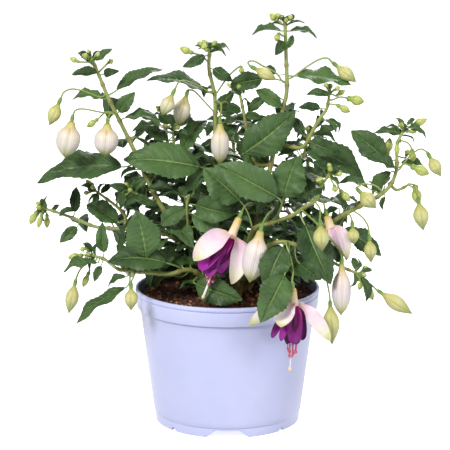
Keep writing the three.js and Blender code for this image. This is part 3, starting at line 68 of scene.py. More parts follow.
# The stems in the front view, as the solids have them: the base on the soil [x, y], the radii at foot and
# tip, the route and its branches. A leaf is [base across, down, tip across, down, width, how far behind
# its stem, how much further back its tip], and then where it joins the stem, if that isn't at its base.
# A stalk is [the large bud's name, path, bud's top across, down, tip across, down, width, depth].
# Pairs are the leaves that grow by rule: [pairs, from and to which share of the stem, blade's length]
STEMS = [
  {
    "name": "stem_left_tall", "base": [-9, -3], "radius": [2.2, 1.1],
    "route": [[205, 272, -3], [191, 246, -2], [175, 226, 0], [154, 193, 4], [133, 148, 8],
      [109, 99, 10], [100, 78, 10], [91, 57, 10]],
    "branches": [
      {"radius": [1.3, 0.9], "route": [[188, 233, -12], [187, 207, -22], [189, 195, -24]], "bare": True},
      {"radius": [1.2, 0.9], "route": [[152, 201, 0], [141, 196, -6], [130, 191, -9]]},
    ],
    "leaves": [
      [122, 167, 34, 180, 27, -4, 10], [125, 118, 163, 120, 10, -3, -6], [103, 99, 71, 95, 12, 0, -4],
      [119, 112, 135, 92, 18, -4, -6], [117, 90, 163, 67, 13, 2, 8], [97, 72, 71, 74, 12, -2, -6],
      [104, 74, 117, 71, 11, -2, -8], [95, 60, 112, 48, 10, 0, -4], [90, 62, 77, 49, 9, 2, 5],
      [128, 190, 109, 185, 11, 0, -4], [133, 189, 144, 178, 9, -1, -4], [122, 193, 121, 208, 11, -2, -8],
      [136, 196, 155, 206, 12, -2, -8], [186, 209, 157, 226, 17, 2, 4],
      [196, 205, 236, 214, 25, -3, -8], [193, 214, 222, 236, 20, -2, -6], [172, 212, 142, 204, 15, 6, 6],
    ],
    "stalks": [
      ["bud_left_end", [[100, 97], [83, 91], [72, 89], [64, 92]], 61, 98, 50, 124, 14, 2],
      ["bud_left_outer", [[115, 114], [100, 112], [84, 109], [76, 110]], 73, 115, 65, 156, 25, -14],
      ["bud_left_inner", [[120, 119], [113, 112]], 108, 117, 105, 155, 25, -12],
      [None, [[114, 113], [106, 112]], 98, 119, 87, 127, 7, 4],
      [None, [[92, 62]], 79, 62, 70, 58, 6, 4],
      [None, [[99, 72]], 108, 63, 113, 60, 6, 14],
    ],
    "pairs": [4, 0.28, 0.9, 38],
  },
  {
    "name": "stem_centre_left", "base": [-4, 9], "radius": [2.2, 1.1],
    "route": [[222, 250, 12], [219, 200, 14], [216, 150, 16], [215, 100, 16], [213, 87, 16],
      [209, 68, 14], [210, 47, 12]],
    "branches": [
      {"radius": [1.4, 0.9], "route": [[196, 176, 20], [176, 150, 22], [173, 129, 22]]},
    ],
    "leaves": [
      [200, 167, 122, 158, 35, -14, -6], [205, 92, 146, 80, 13, -2, -4], [205, 56, 182, 67, 13, -2, -6],
      [206, 50, 194, 44, 6, 0, 3], [213, 49, 232, 46, 7, 0, 4], [213, 69, 233, 81, 15, -2, -6],
      [218, 110, 234, 92, -17, 2, 6], [219, 112, 241, 109, 12, 4, 6], [170, 124, 158, 110, 13, 0, 4],
      [177, 126, 192, 112, 13, 0, 4], [183, 150, 206, 116, 19, 4, 6], [168, 140, 142, 126, 15, 4, 6],
      [217, 138, 242, 125, 16, 4, 6],
    ],
    "stalks": [
      ["bud_top_left", [[211, 93], [199, 86], [186, 81], [179, 82]], 175, 89, 163, 114, 15, -4],
      ["bud_top_behind", [[214, 112], [204, 101], [194, 91]], 188, 90, 178, 124, 18, 12],
      ["bud_centre", [[216, 101], [221, 104], [221, 111]], 220, 117, 220, 163, 19, -9],
      ["bud_centre_behind", [[218, 104], [226, 102], [230, 108]], 229, 114, 230, 140, 11, 30],
      [None, [[216, 94], [227, 78], [236, 69]], 241, 66, 242, 74, 6, 8],
      [None, [[208, 62], [202, 56]], 193, 53, 180, 48, 8, 6],
      [None, [], 207, 51, 202, 43, 7, 2],
    ],
    "pairs": [5, 0.25, 0.88, 40],
  },
  {
    "name": "stem_centre_right", "base": [5, 3], "radius": [2.3, 1.1],
    "route": [[250, 250, -4], [262, 200, -8], [272, 160, -8], [283, 108, -4], [286, 97, -3],
      [287, 82, -2], [286, 53, 0], [285, 20, 0]],
    "branches": [
      {"radius": [1.5, 0.9], "route": [[292, 147, -14], [304, 146, -18], [314, 128, -18],
        [321, 117, -18], [327, 108, -18], [330, 90, -18]]},
      {"radius": [1.4, 0.9], "route": [[254, 160, 4], [244, 114, 6], [239, 90, 6]]},
    ],
    "leaves": [
      [244, 153, 296, 111, 36, -14, -6], [262, 79, 227, 86, 18, 4, 6, 287, 82],
      [276, 74, 264, 65, 9, 0, 4], [281, 107, 254, 88, 17, -3, 4],
      [265, 97, 247, 113, 13, 8, 4, 285, 100],
      [241, 112, 224, 104, 12, 0, 4], [246, 114, 263, 118, 11, -1, -4], [281, 31, 251, 33, 8, 0, -5],
      [290, 31, 319, 33, 8, 0, -5], [284, 42, 276, 54, 14, -3, -8], [288, 48, 293, 34, 8, 0, 3],
      [297, 76, 352, 85, 16, -3, -8], [310, 142, 342, 154, 22, -3, -8], [305, 149, 366, 178, 28, 4, 6],
      [320, 108, 298, 107, 11, 0, -4], [328, 95, 306, 92, 10, 0, -3],
      [303, 135, 295, 116, 13, 6, 5, 310, 135],
      [268, 166, 234, 142, 24, 6, 6], [277, 150, 306, 143, 15, 4, 6],
      [286, 20, 296, 14, 7, 0, 3], [239, 93, 230, 84, 7, 0, 3],
    ],
    "stalks": [
      ["bud_top_yellow", [[283, 82], [276, 73], [263, 66], [254, 61], [248, 62]],
        250, 66, 275, 79, 12, -12],
      ["bud_top_right", [[291, 78], [305, 68], [318, 60], [327, 58]], 332, 62, 355, 81, 14, -8],
      ["bud_front_white", [[265, 206], [274, 208], [268, 214]], 262, 224, 250, 281, 24, -70],
      [None, [[282, 24]], 278, 21, 270, 14, 8, 2],
      [None, [[283, 36]], 279, 33, 276, 41, 7, -6],
      [None, [[332, 100], [340, 97]], 347, 98, 364, 102, 11, -20],
      [None, [[330, 104]], 337, 105, 350, 112, 8, -23],
      [None, [[331, 94]], 336, 96, 345, 90, 6, -14],
    ],
    "pairs": [5, 0.22, 0.9, 40],
  },
  {
    "name": "stem_right_far", "base": [12, -3], "radius": [2.2, 1.0],
    "route": [[275, 262, -18], [310, 235, -28], [345, 214, -34], [383, 193, -38], [396, 172, -38],
      [397, 145, -36], [404, 130, -34]],
    "branches": [
      {"radius": [1.2, 0.8], "route": [[397, 190, -34], [410, 184, -32]]},
    ],
    "leaves": [
      [384, 158, 351, 130, 25, -2, -4], [394, 167, 366, 155, 14, 0, -4], [400, 134, 374, 131, 10, 0, -4],
      [408, 128, 428, 136, 7, 0, -4], [401, 163, 430, 172, 11, 4, 4], [391, 172, 368, 195, 14, 5, 6],
      [368, 188, 337, 180, 9, -2, -3, 380, 195], [385, 197, 381, 210, 6, -2, -4],
      [343, 230, 382, 256, 20, 8, 6, 350, 211],
      [404, 127, 396, 116, 6, 0, 3], [407, 125, 416, 117, 6, 0, 3],
    ],
    "stalks": [
      ["bud_right_upper", [[384, 194], [376, 186], [364, 184]], 356, 188, 375, 207, 16, -46],
      ["bud_right_low_a", [[346, 214], [350, 215]], 352, 221, 354, 243, 12, -46],
      ["bud_right_low_b", [[352, 210], [362, 217], [368, 226]], 369, 234, 371, 261, 13, -40],
      ["bud_far_upper", [[400, 167], [410, 156], [420, 149]], 427, 152, 440, 175, 13, -42],
      ["bud_far_pair", [[409, 185], [413, 188]], 418, 197, 423, 229, 16, -44],
      [None, [[399, 170], [404, 164]], 411, 166, 429, 174, 11, -46],
      [None, [[411, 184]], 415, 185, 418, 204, 11, -26],
      [None, [[399, 140], [408, 143]], 412, 149, 413, 162, 8, -34],
      [None, [], 397, 141, 397, 156, 6, -42],
      [None, [[397, 168], [389, 163]], 387, 156, 390, 138, 9, -28],
      [None, [[405, 130]], 411, 126, 427, 119, 8, -30],
      [None, [[405, 158]], 406, 156, 409, 150, 7, -27],
    ],
    "pairs": [3, 0.3, 0.85, 36],
  },
  {
    "name": "stem_right_middle", "base": [9, -13], "radius": [2.1, 1.0],
    "route": [[251, 234, -30], [271, 223, -36], [291, 216, -42], [306, 206, -46], [316, 200, -48],
      [320, 188, -48], [331, 172, -48]],
    "branches": [],
    "leaves": [
      [239, 200, 203, 168, 33, -6, -2, 251, 231], [277, 197, 216, 164, 33, -8, -4, 271, 223],
      [284, 197, 298, 156, 34, -6, -2, 274, 222], [305, 225, 331, 285, 31, -6, -14],
      [332, 176, 313, 160, 20, 8, 6], [333, 174, 341, 164, 8, 0, 3], [322, 190, 308, 193, 9, -1, -5],
    ],
    "stalks": [
      ["bud_right_white", [[302, 210], [316, 223], [329, 237], [339, 250]], 342, 257, 341, 314, 19, -58],
      ["bud_right_green", [[316, 203], [320, 209], [320, 214]], 320, 219, 322, 250, 16, -73],
      [None, [[320, 186]], 321, 183, 318, 177, 8, -54],
      [None, [[329, 176]], 334, 185, 336, 192, 7, -52],
      [None, [[331, 178], [336, 182]], 340, 190, 350, 201, 8, -46],
    ],
    "pairs": [2, 0.3, 0.8, 36],
  },
  {
    "name": "stem_right_low", "base": [4, -20], "radius": [2.1, 0.9],
    "route": [[247, 262, -44], [266, 247, -54], [285, 242, -60], [312, 252, -58], [340, 266, -52],
      [359, 274, -48]],
    "branches": [],
    "leaves": [
      [283, 247, 265, 290, 28, -8, -12], [284, 276, 260, 323, 31, -20, -14, 290, 243],
      [300, 264, 322, 280, 18, -6, -8, 296, 246], [361, 277, 369, 302, 11, -2, -8],
      [340, 262, 334, 245, 12, 3, 6], [357, 270, 352, 256, 9, 2, 5], [362, 272, 374, 268, 6, 0, 3],
    ],
    "stalks": [
      ["bud_right_low", [[314, 257], [325, 276], [329, 292]], 330, 300, 332, 343, 17, -64],
      ["bud_low_end", [[360, 277], [369, 283]], 377, 290, 411, 313, 15, -54],
      [None, [[360, 277]], 366, 283, 373, 300, 8, -40],
      [None, [[357, 275]], 362, 280, 359, 290, 6, -54],
    ],
    "pairs": [2, 0.3, 0.75, 34],
  },
  {
    "name": "stem_left_middle", "base": [-15, 7], "radius": [2.1, 0.9],
    "route": [[205, 262, 10], [194, 250, 12], [178, 241, 16], [159, 231, 20], [128, 229, 26],
      [97, 227, 32], [76, 219, 36], [53, 211, 38], [42, 208, 39]],
    "branches": [
      {"radius": [1.3, 0.8], "route": [[125, 216, 26], [116, 206, 24], [100, 194, 22], [94, 190, 22]]},
    ],
    "leaves": [
      [77, 227, 59, 243, 15, -3, -6], [60, 216, 76, 208, 8, -3, -3], [75, 212, 76, 185, 14, 0, 5],
      [118, 222, 84, 201, 20, 4, 8], [95, 191, 80, 184, 7, 0, 3], [101, 193, 113, 183, 8, 2, 4],
      [98, 194, 92, 205, 8, -2, -4], [47, 207, 40, 197, 7, 0, 3], [52, 212, 60, 203, 6, 2, 3],
    ],
    "stalks": [
      [None, [], 37, 211, 30, 224, 8, 36],
      [None, [], 42, 213, 38, 228, 6, 33],
      [None, [[44, 209]], 47, 214, 47, 228, 7, 42],
      [None, [], 93, 187, 86, 180, 6, 24],
    ],
    "pairs": [4, 0.25, 0.9, 34],
  },
  {
    "name": "stem_left_low", "base": [-10, -16], "radius": [2.1, 0.9],
    "route": [[198, 274, -28], [186, 270, -34], [170, 274, -38], [152, 273, -40], [132, 271, -38],
      [118, 269, -36], [104, 259, -32], [90, 255, -30]],
    "branches": [],
    "leaves": [
      [146, 256, 136, 210, 34, -6, -6, 149, 272], [166, 263, 107, 262, 25, -8, -8, 184, 269],
      [104, 252, 102, 222, 16, -1, -2], [97, 263, 61, 268, 9, -4, -6], [125, 288, 76, 325, 12, -6, -8],
      [101, 266, 94, 282, 10, -4, -6], [126, 277, 106, 286, 8, 4, 6], [196, 284, 243, 300, 26, -14, -14],
      [93, 251, 82, 241, 7, 0, 3], [160, 268, 176, 244, 18, 6, 10],
    ],
    "stalks": [
      ["bud_low_left_outer", [[96, 260], [88, 262], [80, 270]], 76, 279, 69, 312, 14, -34],
      ["bud_low_left_inner", [[134, 274], [134, 276]], 131, 282, 131, 309, 14, -60],
      [None, [[89, 255]], 83, 255, 68, 258, 8, -26],
      [None, [[91, 260]], 89, 272, 83, 287, 7, -26],
      [None, [[90, 254]], 86, 248, 80, 250, 6, -34],
    ],
    "pairs": [3, 0.3, 0.85, 36],
  },
]

# The shoots at the back, which the front view doesn't show, in millimetres [x, y, z]
BACK_STEMS = [
  {
    "name": "stem_back_left", "base": [-8, 18], "radius": [2.1, 1.0], "axes": True,
    "route": [[-20, 36, 130], [-38, 58, 168], [-47, 78, 200], [-50, 88, 224]],
    "stalks": [["bud_back_left", [[-50, 82, 206], [-56, 90, 206]], [-58, 91, 200], [-60, 93, 172], 18]],
    "pairs": [5, 0.2, 0.99, 46],
  },
  {
    "name": "stem_back_centre", "base": [0, 22], "radius": [2.1, 1.0], "axes": True,
    "route": [[3, 48, 142], [6, 70, 176], [4, 84, 204], [0, 90, 222]],
    "stalks": [],
    "pairs": [5, 0.2, 0.99, 46],
  },
  {
    "name": "stem_back_right", "base": [12, 16], "radius": [2.1, 1.0], "axes": True,
    "route": [[26, 38, 130], [46, 60, 162], [60, 76, 190], [64, 84, 208]],
    "stalks": [["bud_back_right", [[58, 80, 190], [62, 89, 190]], [64, 91, 184], [66, 92, 155], 18]],
    "pairs": [5, 0.2, 0.99, 46],
  },
  {
    "name": "stem_back_low_left", "base": [-17, 15], "radius": [2.0, 0.9], "axes": True,
    "route": [[-38, 42, 116], [-58, 68, 126], [-70, 84, 130]],
    "stalks": [["bud_back_low", [[-68, 84, 128], [-74, 90, 122]], [-76, 92, 116], [-78, 93, 88], 17]],
    "pairs": [4, 0.25, 0.99, 42],
  },
  {
    "name": "stem_back_low_right", "base": [17, 9], "radius": [2.0, 0.9], "axes": True,
    "route": [[42, 36, 116], [66, 60, 128], [82, 74, 134]],
    "stalks": [],
    "pairs": [4, 0.25, 0.99, 42],
  },
]

# The open blooms: the stalk's places, where the tube starts and ends, where the skirt of petals
# ends, how wide it opens and its rounds of petals, how far the sepals twist their faces to the
# front, and the sepals: tip, width and depth, and how far each bulges out and below the mouth. Only in
# this model: the style's radius, how pink each sepal is, how wide the skirt is seen to open, and the
# loose outer petals that stand off it, as [across, down, width, depth, bulge, drop, tone]
BLOOMS = [
  {
    "name": "bloom_left", "stem": "stem_centre_right", "stalk": [[260, 207], [252, 203], [246, 205]],
    "top": [242, 211], "depth": -50, "mouth": [231, 237], "skirt": [211, 270], "skirtDepth": -54,
    "open": 10.5, "rounds": 2, "twist": 0.8,
    "sepals": [[194, 261, 22, -66, 16, 6], [231, 284, 18, -65, 17, 6],
      [242, 273, 15, -51, 17, 3], [212, 258, 15, -28, 19, 3]],
    "style": [204, 295], "styleDepth": -56, "style_radius": 0.9,
    "blush": [1, 0.6, 0.3, 0.3],
    "loose": [[200, 270, 15, -64, 8, 6, 1], [207, 276, 13, -61, 8, 8, 0.75],
      [219, 273, 12, -66, 7, 8, 0.2]],
  },
  {
    "name": "bloom_right", "stem": "stem_right_low", "stalk": [[286, 243], [290, 256], [293, 270]],
    "top": [292, 281], "depth": -84, "mouth": [294, 305], "skirt": [292, 343], "skirtDepth": -87,
    "open": 8.5, "rounds": 2, "twist": 0.8,
    "sepals": [[249, 326, 15, -78, 16, 3], [281, 327, 19, -99, 15, 3],
      [330, 341, 15, -88, 15, 7], [300, 318, 14, -62, 17, 3]],
    "style": [290, 367], "styleDepth": -88,
    "blush": [0.2, 0.2, 0.3, 0.3], "shown_open": 6,
    "loose": [[272, 338, 8, -92, 7, 4, 0.5], [281, 341, 8, -95, 6, 5, 0.7], [294, 344, 15, -94, 5, 6, 0.35],
      [302, 340, 10, -88, 6, 6, 0.1]],
  },
  {
    "name": "bloom_half_open", "stem": "stem_right_middle", "stalk": [[317, 198], [323, 202]],
    "top": [325, 209], "depth": -41, "mouth": [331, 229], "skirt": [338, 255], "skirtDepth": -41,
    "open": 4.6, "rounds": 1, "twist": 0.3, "shown_open": 1.8,
    "sepals": [[347, 259, 15, -46, 11.5, 3], [341, 263, 13, -46, 9, 3],
      [346, 261, 11, -36, 11.5, 3], [334, 262, 11, -37, 11.5, 3]],
    "style": None,
  },
  {
    "name": "bloom_back", "stem": "stem_back_centre", "axes": True, "stalk": [[12, 78, 180], [20, 84, 182]],
    "top": [22, 86, 176], "mouth": [23, 87, 158], "skirt": [24, 88, 134],
    "open": 10.5, "rounds": 2, "twist": 0,
    "sepals": [[50, 88, 140, 13, 19, 3], [22, 101, 135, 13, 17, 3],
      [-2, 84, 138, 13, 19, 3], [24, 62, 136, 13, 19, 3]],
    "style": [24, 89, 112],
  },
]


# The materials
def linear(code):
    """An sRGB hex value as linear red, green and blue, with 1 for alpha."""
    value = np.array([int(code[k:k + 2], 16) for k in (1, 3, 5)]) / 255
    value = np.where(value <= 0.04045, value / 12.92, ((value + 0.055) / 1.055) ** 2.4)
    return (*value.tolist(), 1.0)


def add(tree, kind, out=0, inputs=None, stops=None, **settings):
    """Adds a node with its settings, its inputs, which are values or other nodes' outputs, and the
    stops of a colour ramp, given as places and sRGB values. It gives back one of the node's outputs."""
    made = tree.nodes.new("ShaderNode" + kind)
    for name, value in settings.items():
        setattr(made, name, value)
    for socket, value in (inputs or {}).items():
        if isinstance(value, bpy.types.NodeSocket):
            tree.links.new(value, made.inputs[socket])
        else:
            made.inputs[socket].default_value = value
    for k, (place, colour) in enumerate(stops or []):
        stop = made.color_ramp.elements[k] if k < 2 else made.color_ramp.elements.new(place)
        stop.position, stop.color = place, linear(colour)
    return made.outputs[out]


def start(name):
    """A new material, its node tree and its place, which is the object's own, in metres."""
    material = bpy.data.materials.new(name)
    material.use_nodes = True
    tree = material.node_tree
    return material, tree, add(tree, "TexCoord", "Object")


def finish(material, colour, bump, constants):
    """Gives a material's shader its colour, its bumps and its constants."""
    shader = material.node_tree.nodes["Principled BSDF"]
    material.node_tree.links.new(colour, shader.inputs["Base Color"])
    material.node_tree.links.new(bump, shader.inputs["Normal"])
    for name, value in constants.items():
        shader.inputs[name].default_value = value
    return material


def clouded(tree, place, scale, amount, value):
    """One of a piece's own values, shifted up and down by a cloudy noise."""
    cloud = add(tree, "TexNoise", 0, {"Vector": place, "Scale": scale, "Detail": 3.0})
    raised = add(tree, "Math", 0, {0: cloud, 1: amount, 2: -amount / 2}, operation="MULTIPLY_ADD")
    own = add(tree, "Attribute", "Fac", attribute_name=value)
    return add(tree, "Math", 0, {0: raised, 1: own}, operation="ADD")


def fine_lines(tree, count, power):
    """Fine lines along a piece: ((1 + sin(2 pi count across)) / 2) ^ power."""
    across = add(tree, "Attribute", "Fac", attribute_name="across")
    turn = add(tree, "Math", 0, {0: across, 1: 2 * math.pi * count}, operation="MULTIPLY")
    wave = add(tree, "Math", 0, {0: turn}, operation="SINE")
    level = add(tree, "Math", 0, {0: wave, 1: 0.5, 2: 0.5}, operation="MULTIPLY_ADD")
    return add(tree, "Math", 0, {0: level, 1: power}, operation="POWER")


# Light goes a little way into petals and buds, which are full of water
SOFT = {"Subsurface Radius": (0.002, 0.0016, 0.0013), "Subsurface Scale": 1.0}


# Polypropylene, injection moulded with a fine satin face: one even pale lavender, soft sheen, a faint
# waviness from the mould, and inside a dark grey-lilac painted shade for the shadow that falls into the pot
def polypropylene():
    material, tree, place = start("polypropylene")
    cloud = add(tree, "TexNoise", 0, {"Vector": place, "Scale": 24.0, "Detail": 3.0})
    unshaded = add(tree, "ValToRGB", 0, {"Fac": cloud}, [(0.3, "#C1C6EE"), (0.7, "#CACEF3")])
    # the pot's inner rows are painted darker: painted shade for the shadow inside the pot, not a colour of
    # the plastic
    inside = add(tree, "Attribute", "Fac", attribute_name="mark")
    painted_shade = add(tree, "Math", 0, {0: inside, 1: 0.75}, operation="MULTIPLY")
    colour = add(tree, "Mix", 2, {0: painted_shade, 6: unshaded, 7: linear("#4E4A5C")}, data_type="RGBA")
    # the mould's grain is about 0.4 mm
    grain = add(tree, "TexNoise", 0, {"Vector": place, "Scale": 2400.0, "Detail": 1.0})
    wave = add(tree, "TexNoise", 0, {"Vector": place, "Scale": 60.0, "Detail": 1.0})
    fine = add(tree, "Bump", 0, {"Strength": 0.08, "Distance": 0.0001, "Height": grain})
    bump = add(tree, "Bump", 0, {"Strength": 0.1, "Distance": 0.0006, "Height": wave, "Normal": fine})
    return finish(material, colour, bump, {"Roughness": 0.36, "IOR": 1.49})


# Peat compost and composted bark, damp and sieved: crumbs that take up the light, with a dull damp gloss
def compost(name, dark, light, scale):
    material, tree, place = start(name)
    clump = add(tree, "TexNoise", 0, {"Vector": place, "Scale": scale, "Detail": 6.0, "Roughness": 0.7})
    own = add(tree, "Attribute", "Fac", attribute_name="tone")
    mixed = add(tree, "Mix", 0, {0: 0.4, 2: clump, 3: own})
    colour = add(tree, "ValToRGB", 0, {"Fac": mixed}, [(0.3, dark), (0.62, light)])
    bump = add(tree, "Bump", 0, {"Strength": 0.9, "Distance": 0.0012, "Height": clump})
    return finish(material, colour, bump, {"Roughness": 0.85})


# A living leaf's face, waxy above and matt below: green that varies from leaf to leaf, a pale rib, side
# veins that are a little paler and sunk, and a soft broken sheen
def leaf_face(name, old, young, vein, depth, contrast, constants):
    material, tree, place = start(name)
    along, across, count = (add(tree, "Attribute", "Fac", attribute_name=value)
                            for value in ("along", "across", "mark"))
    away = add(tree, "Math", 0, {0: across}, operation="ABSOLUTE")
    bend = add(tree, "Math", 0, {0: away, 1: away}, operation="MULTIPLY")
    bent = add(tree, "Math", 0, {0: bend, 1: -VEIN["bend"], 2: along}, operation="MULTIPLY_ADD")
    leaning = add(tree, "Math", 0, {0: away, 1: -VEIN["lean"], 2: bent}, operation="MULTIPLY_ADD")
    stray = add(tree, "TexNoise", 0, {"Vector": place, "Scale": 130.0, "Detail": 1.0})
    strayed = add(tree, "Math", 0, {0: stray, 1: 0.05, 2: leaning}, operation="MULTIPLY_ADD")
    phase = add(tree, "Math", 0, {0: strayed, 1: count}, operation="MULTIPLY")
    part = add(tree, "Math", 0, {0: phase}, operation="FRACT")
    off = add(tree, "Math", 0, {0: part, 1: 0.5}, operation="SUBTRACT")
    near = add(tree, "Math", 0, {0: off}, operation="ABSOLUTE")
    # a side vein is about 0.5 mm wide where the veins are 6 mm apart
    side_vein = add(tree, "MapRange", 0, {"Value": near, "From Min": 0.42, "From Max": 0.5},
                    interpolation_type="SMOOTHSTEP")
    fade = add(tree, "MapRange", 0, {"Value": away, "From Min": 0.85, "From Max": 0.1})
    rib = add(tree, "MapRange", 0, {"Value": away, "From Min": 0.1, "From Max": 0.02},
              interpolation_type="SMOOTHSTEP")
    faded = add(tree, "Math", 0, {0: side_vein, 1: fade}, operation="MULTIPLY")
    lines = add(tree, "Math", 0, {0: faded, 1: rib}, operation="MAXIMUM")
    age = clouded(tree, place, 70.0, 1.1, "tone")
    ground = add(tree, "ValToRGB", 0, {"Fac": age}, [(0.0, old), (1.0, young)])
    shown = add(tree, "Math", 0, {0: lines, 1: contrast}, operation="MULTIPLY")
    colour = add(tree, "Mix", 2, {0: shown, 6: ground, 7: linear(vein)}, data_type="RGBA")
    # the net of small veins has meshes of about 1.3 mm, and the leaf puffs between its larger veins
    net = add(tree, "TexVoronoi", 0, {"Vector": place, "Scale": 750.0}, feature="DISTANCE_TO_EDGE")
    netted = add(tree, "Bump", 0, {"Strength": 0.3, "Distance": 0.0002, "Height": net})
    puffs = add(tree, "TexNoise", 0, {"Vector": place, "Scale": 260.0, "Detail": 2.0})
    puffed = add(tree, "Bump", 0, {"Strength": 0.5, "Distance": 0.0008, "Height": puffs, "Normal": netted})
    bump = add(tree, "Bump", 0, {"Strength": 0.5, "Distance": depth, "Height": lines, "Normal": puffed})
    return finish(material, colour, bump, constants)


# A growing part's skin, waxed, coloured along its length or by its own tone, and clouded; its nodes or
# fine lines, which the mark or the count gives, have a colour of their own
def grown(name, stops, clouding, value, roughness, second, marked=0, count=0, soft=0):
    material, tree, place = start(name)
    where = clouded(tree, place, 160.0, clouding, value)
    ground = add(tree, "ValToRGB", 0, {"Fac": where}, stops)
    lines = fine_lines(tree, count, 4.0) if count else add(tree, "Attribute", "Fac", attribute_name="mark")
    shown = add(tree, "Math", 0, {0: lines, 1: marked}, operation="MULTIPLY")
    colour = add(tree, "Mix", 2, {0: shown, 6: ground, 7: linear(second)}, data_type="RGBA")
    bump = add(tree, "Bump", 0, {"Strength": 0.3, "Distance": 0.0002, "Height": lines if count else where})
    return finish(material, colour, bump, {"Roughness": roughness, "Subsurface Weight": soft, **SOFT})


# The skin of a fat bud, four sepals still joined: cream at its tube with an orange blush at the
# shoulder, ivory with a breath of pink over the body, with greyish lengthwise veins, thin ochre seams
# and a yellow-green point; a younger bud is yellow-green all over (tone 0)
def bud_skin():
    material, tree, place = start("bud_skin")
    where = clouded(tree, place, 140.0, 0.12, "along")
    tone, seam = (add(tree, "Attribute", "Fac", attribute_name=value) for value in ("tone", "mark"))
    ripe = add(tree, "ValToRGB", 0, {"Fac": where}, [
        (0.0, "#B0A248"), (0.13, "#CFC27A"), (0.26, "#E4D9CE"), (0.6, "#E2D8DE"), (0.8, "#DEDABE"),
        (0.93, "#A9B550")])
    green = add(tree, "ValToRGB", 0, {"Fac": where}, [
        (0.0, "#9CA138"), (0.2, "#B9BB56"), (0.45, "#C9CB74"), (0.7, "#AEB952"), (0.95, "#7A9434")])
    ground = add(tree, "Mix", 2, {0: tone, 6: green, 7: ripe}, data_type="RGBA")
    lines = fine_lines(tree, 17, 2.5)
    shown = add(tree, "Math", 0, {0: lines, 1: 0.4}, operation="MULTIPLY")
    veined = add(tree, "Mix", 2, {0: shown, 6: ground, 7: linear("#BFA9A2")}, data_type="RGBA")
    strength = add(tree, "Math", 0, {0: tone, 1: -0.35, 2: 0.58}, operation="MULTIPLY_ADD")
    drawn = add(tree, "Math", 0, {0: seam, 1: strength}, operation="MULTIPLY")
    lined = add(tree, "Mix", 2, {0: drawn, 6: veined, 7: linear("#96953F")}, data_type="RGBA")
    shoulder = add(tree, "ValToRGB", 0, {"Fac": where}, [
        (0.12, "#000000"), (0.2, "#FFFFFF"), (0.32, "#000000")])
    warm = add(tree, "Math", 0, {0: seam, 1: 0.7, 2: 0.06}, operation="MULTIPLY_ADD")
    ripened = add(tree, "Math", 0, {0: warm, 1: tone}, operation="MULTIPLY")
    blush = add(tree, "Math", 0, {0: shoulder, 1: ripened}, operation="MULTIPLY")
    colour = add(tree, "Mix", 2, {0: blush, 6: lined, 7: linear("#D8572C")}, data_type="RGBA")
    bump = add(tree, "Bump", 0, {"Strength": 0.4, "Distance": 0.00025, "Height": lines})
    return finish(material, colour, bump, {"Roughness": 0.42, "Subsurface Weight": 0.2, **SOFT})


# A sepal, fleshy and waxy: white clouded with lilac pink, which is deeper in fine lengthwise veins and
# towards its root, and yellow-green at its tip
def sepal_face():
    material, tree, place = start("sepal")
    where = clouded(tree, place, 110.0, 0.1, "along")
    ground = add(tree, "ValToRGB", 0, {"Fac": where}, [
        (0.0, "#E2BC9C"), (0.1, "#E6C4C2"), (0.3, "#E3D0D5"), (0.65, "#E5D7D9"), (0.84, "#DFDABC"),
        (0.97, "#B2BE60")])
    patch = add(tree, "TexNoise", 0, {"Vector": place, "Scale": 70.0, "Detail": 2.0})
    own = add(tree, "Attribute", "Fac", attribute_name="tone")
    spread = add(tree, "MapRange", 0, {"Value": patch, "From Min": 0.4, "From Max": 0.66})
    pink = add(tree, "Math", 0, {0: spread, 1: own}, operation="MULTIPLY")
    clouds = add(tree, "Mix", 2, {0: pink, 6: ground, 7: linear("#E4B2D4")}, data_type="RGBA")
    lines = fine_lines(tree, 7, 6.0)
    fade = add(tree, "MapRange", 0, {"Value": where, "From Min": 0.95, "From Max": 0.1, "To Max": 0.35})
    shown = add(tree, "Math", 0, {0: lines, 1: fade}, operation="MULTIPLY")
    colour = add(tree, "Mix", 2, {0: shown, 6: clouds, 7: linear("#CF8CA8")}, data_type="RGBA")
    bump = add(tree, "Bump", 0, {"Strength": 0.3, "Distance": 0.00015, "Height": lines})
    return finish(material, colour, bump, {"Roughness": 0.42, "Subsurface Weight": 0.25, **SOFT})


# A corolla petal, velvety: deep purple, magenta towards its base and along its fine veins; outer
# petals with a high tone are magenta all over
def petal_face():
    material, tree, place = start("petal")
    where = clouded(tree, place, 120.0, 0.3, "along")
    deep = add(tree, "ValToRGB", 0, {"Fac": where}, [
        (0.0, "#8E1058"), (0.25, "#60074A"), (0.6, "#3E023A"), (1.0, "#300234")])
    bright = add(tree, "ValToRGB", 0, {"Fac": where}, [
        (0.0, "#B01C6A"), (0.4, "#A81A90"), (1.0, "#921494")])
    own = add(tree, "Attribute", "Fac", attribute_name="tone")
    ground = add(tree, "Mix", 2, {0: own, 6: deep, 7: bright}, data_type="RGBA")
    lines = fine_lines(tree, 6, 5.0)
    shown = add(tree, "Math", 0, {0: lines, 1: 0.3}, operation="MULTIPLY")
    colour = add(tree, "Mix", 2, {0: shown, 6: ground, 7: linear("#A81A7C")}, data_type="RGBA")
    bump = add(tree, "Bump", 0, {"Strength": 0.3, "Distance": 0.00015, "Height": lines})
    return finish(material, colour, bump, {"Roughness": 0.5, "Specular IOR Level": 0.22})


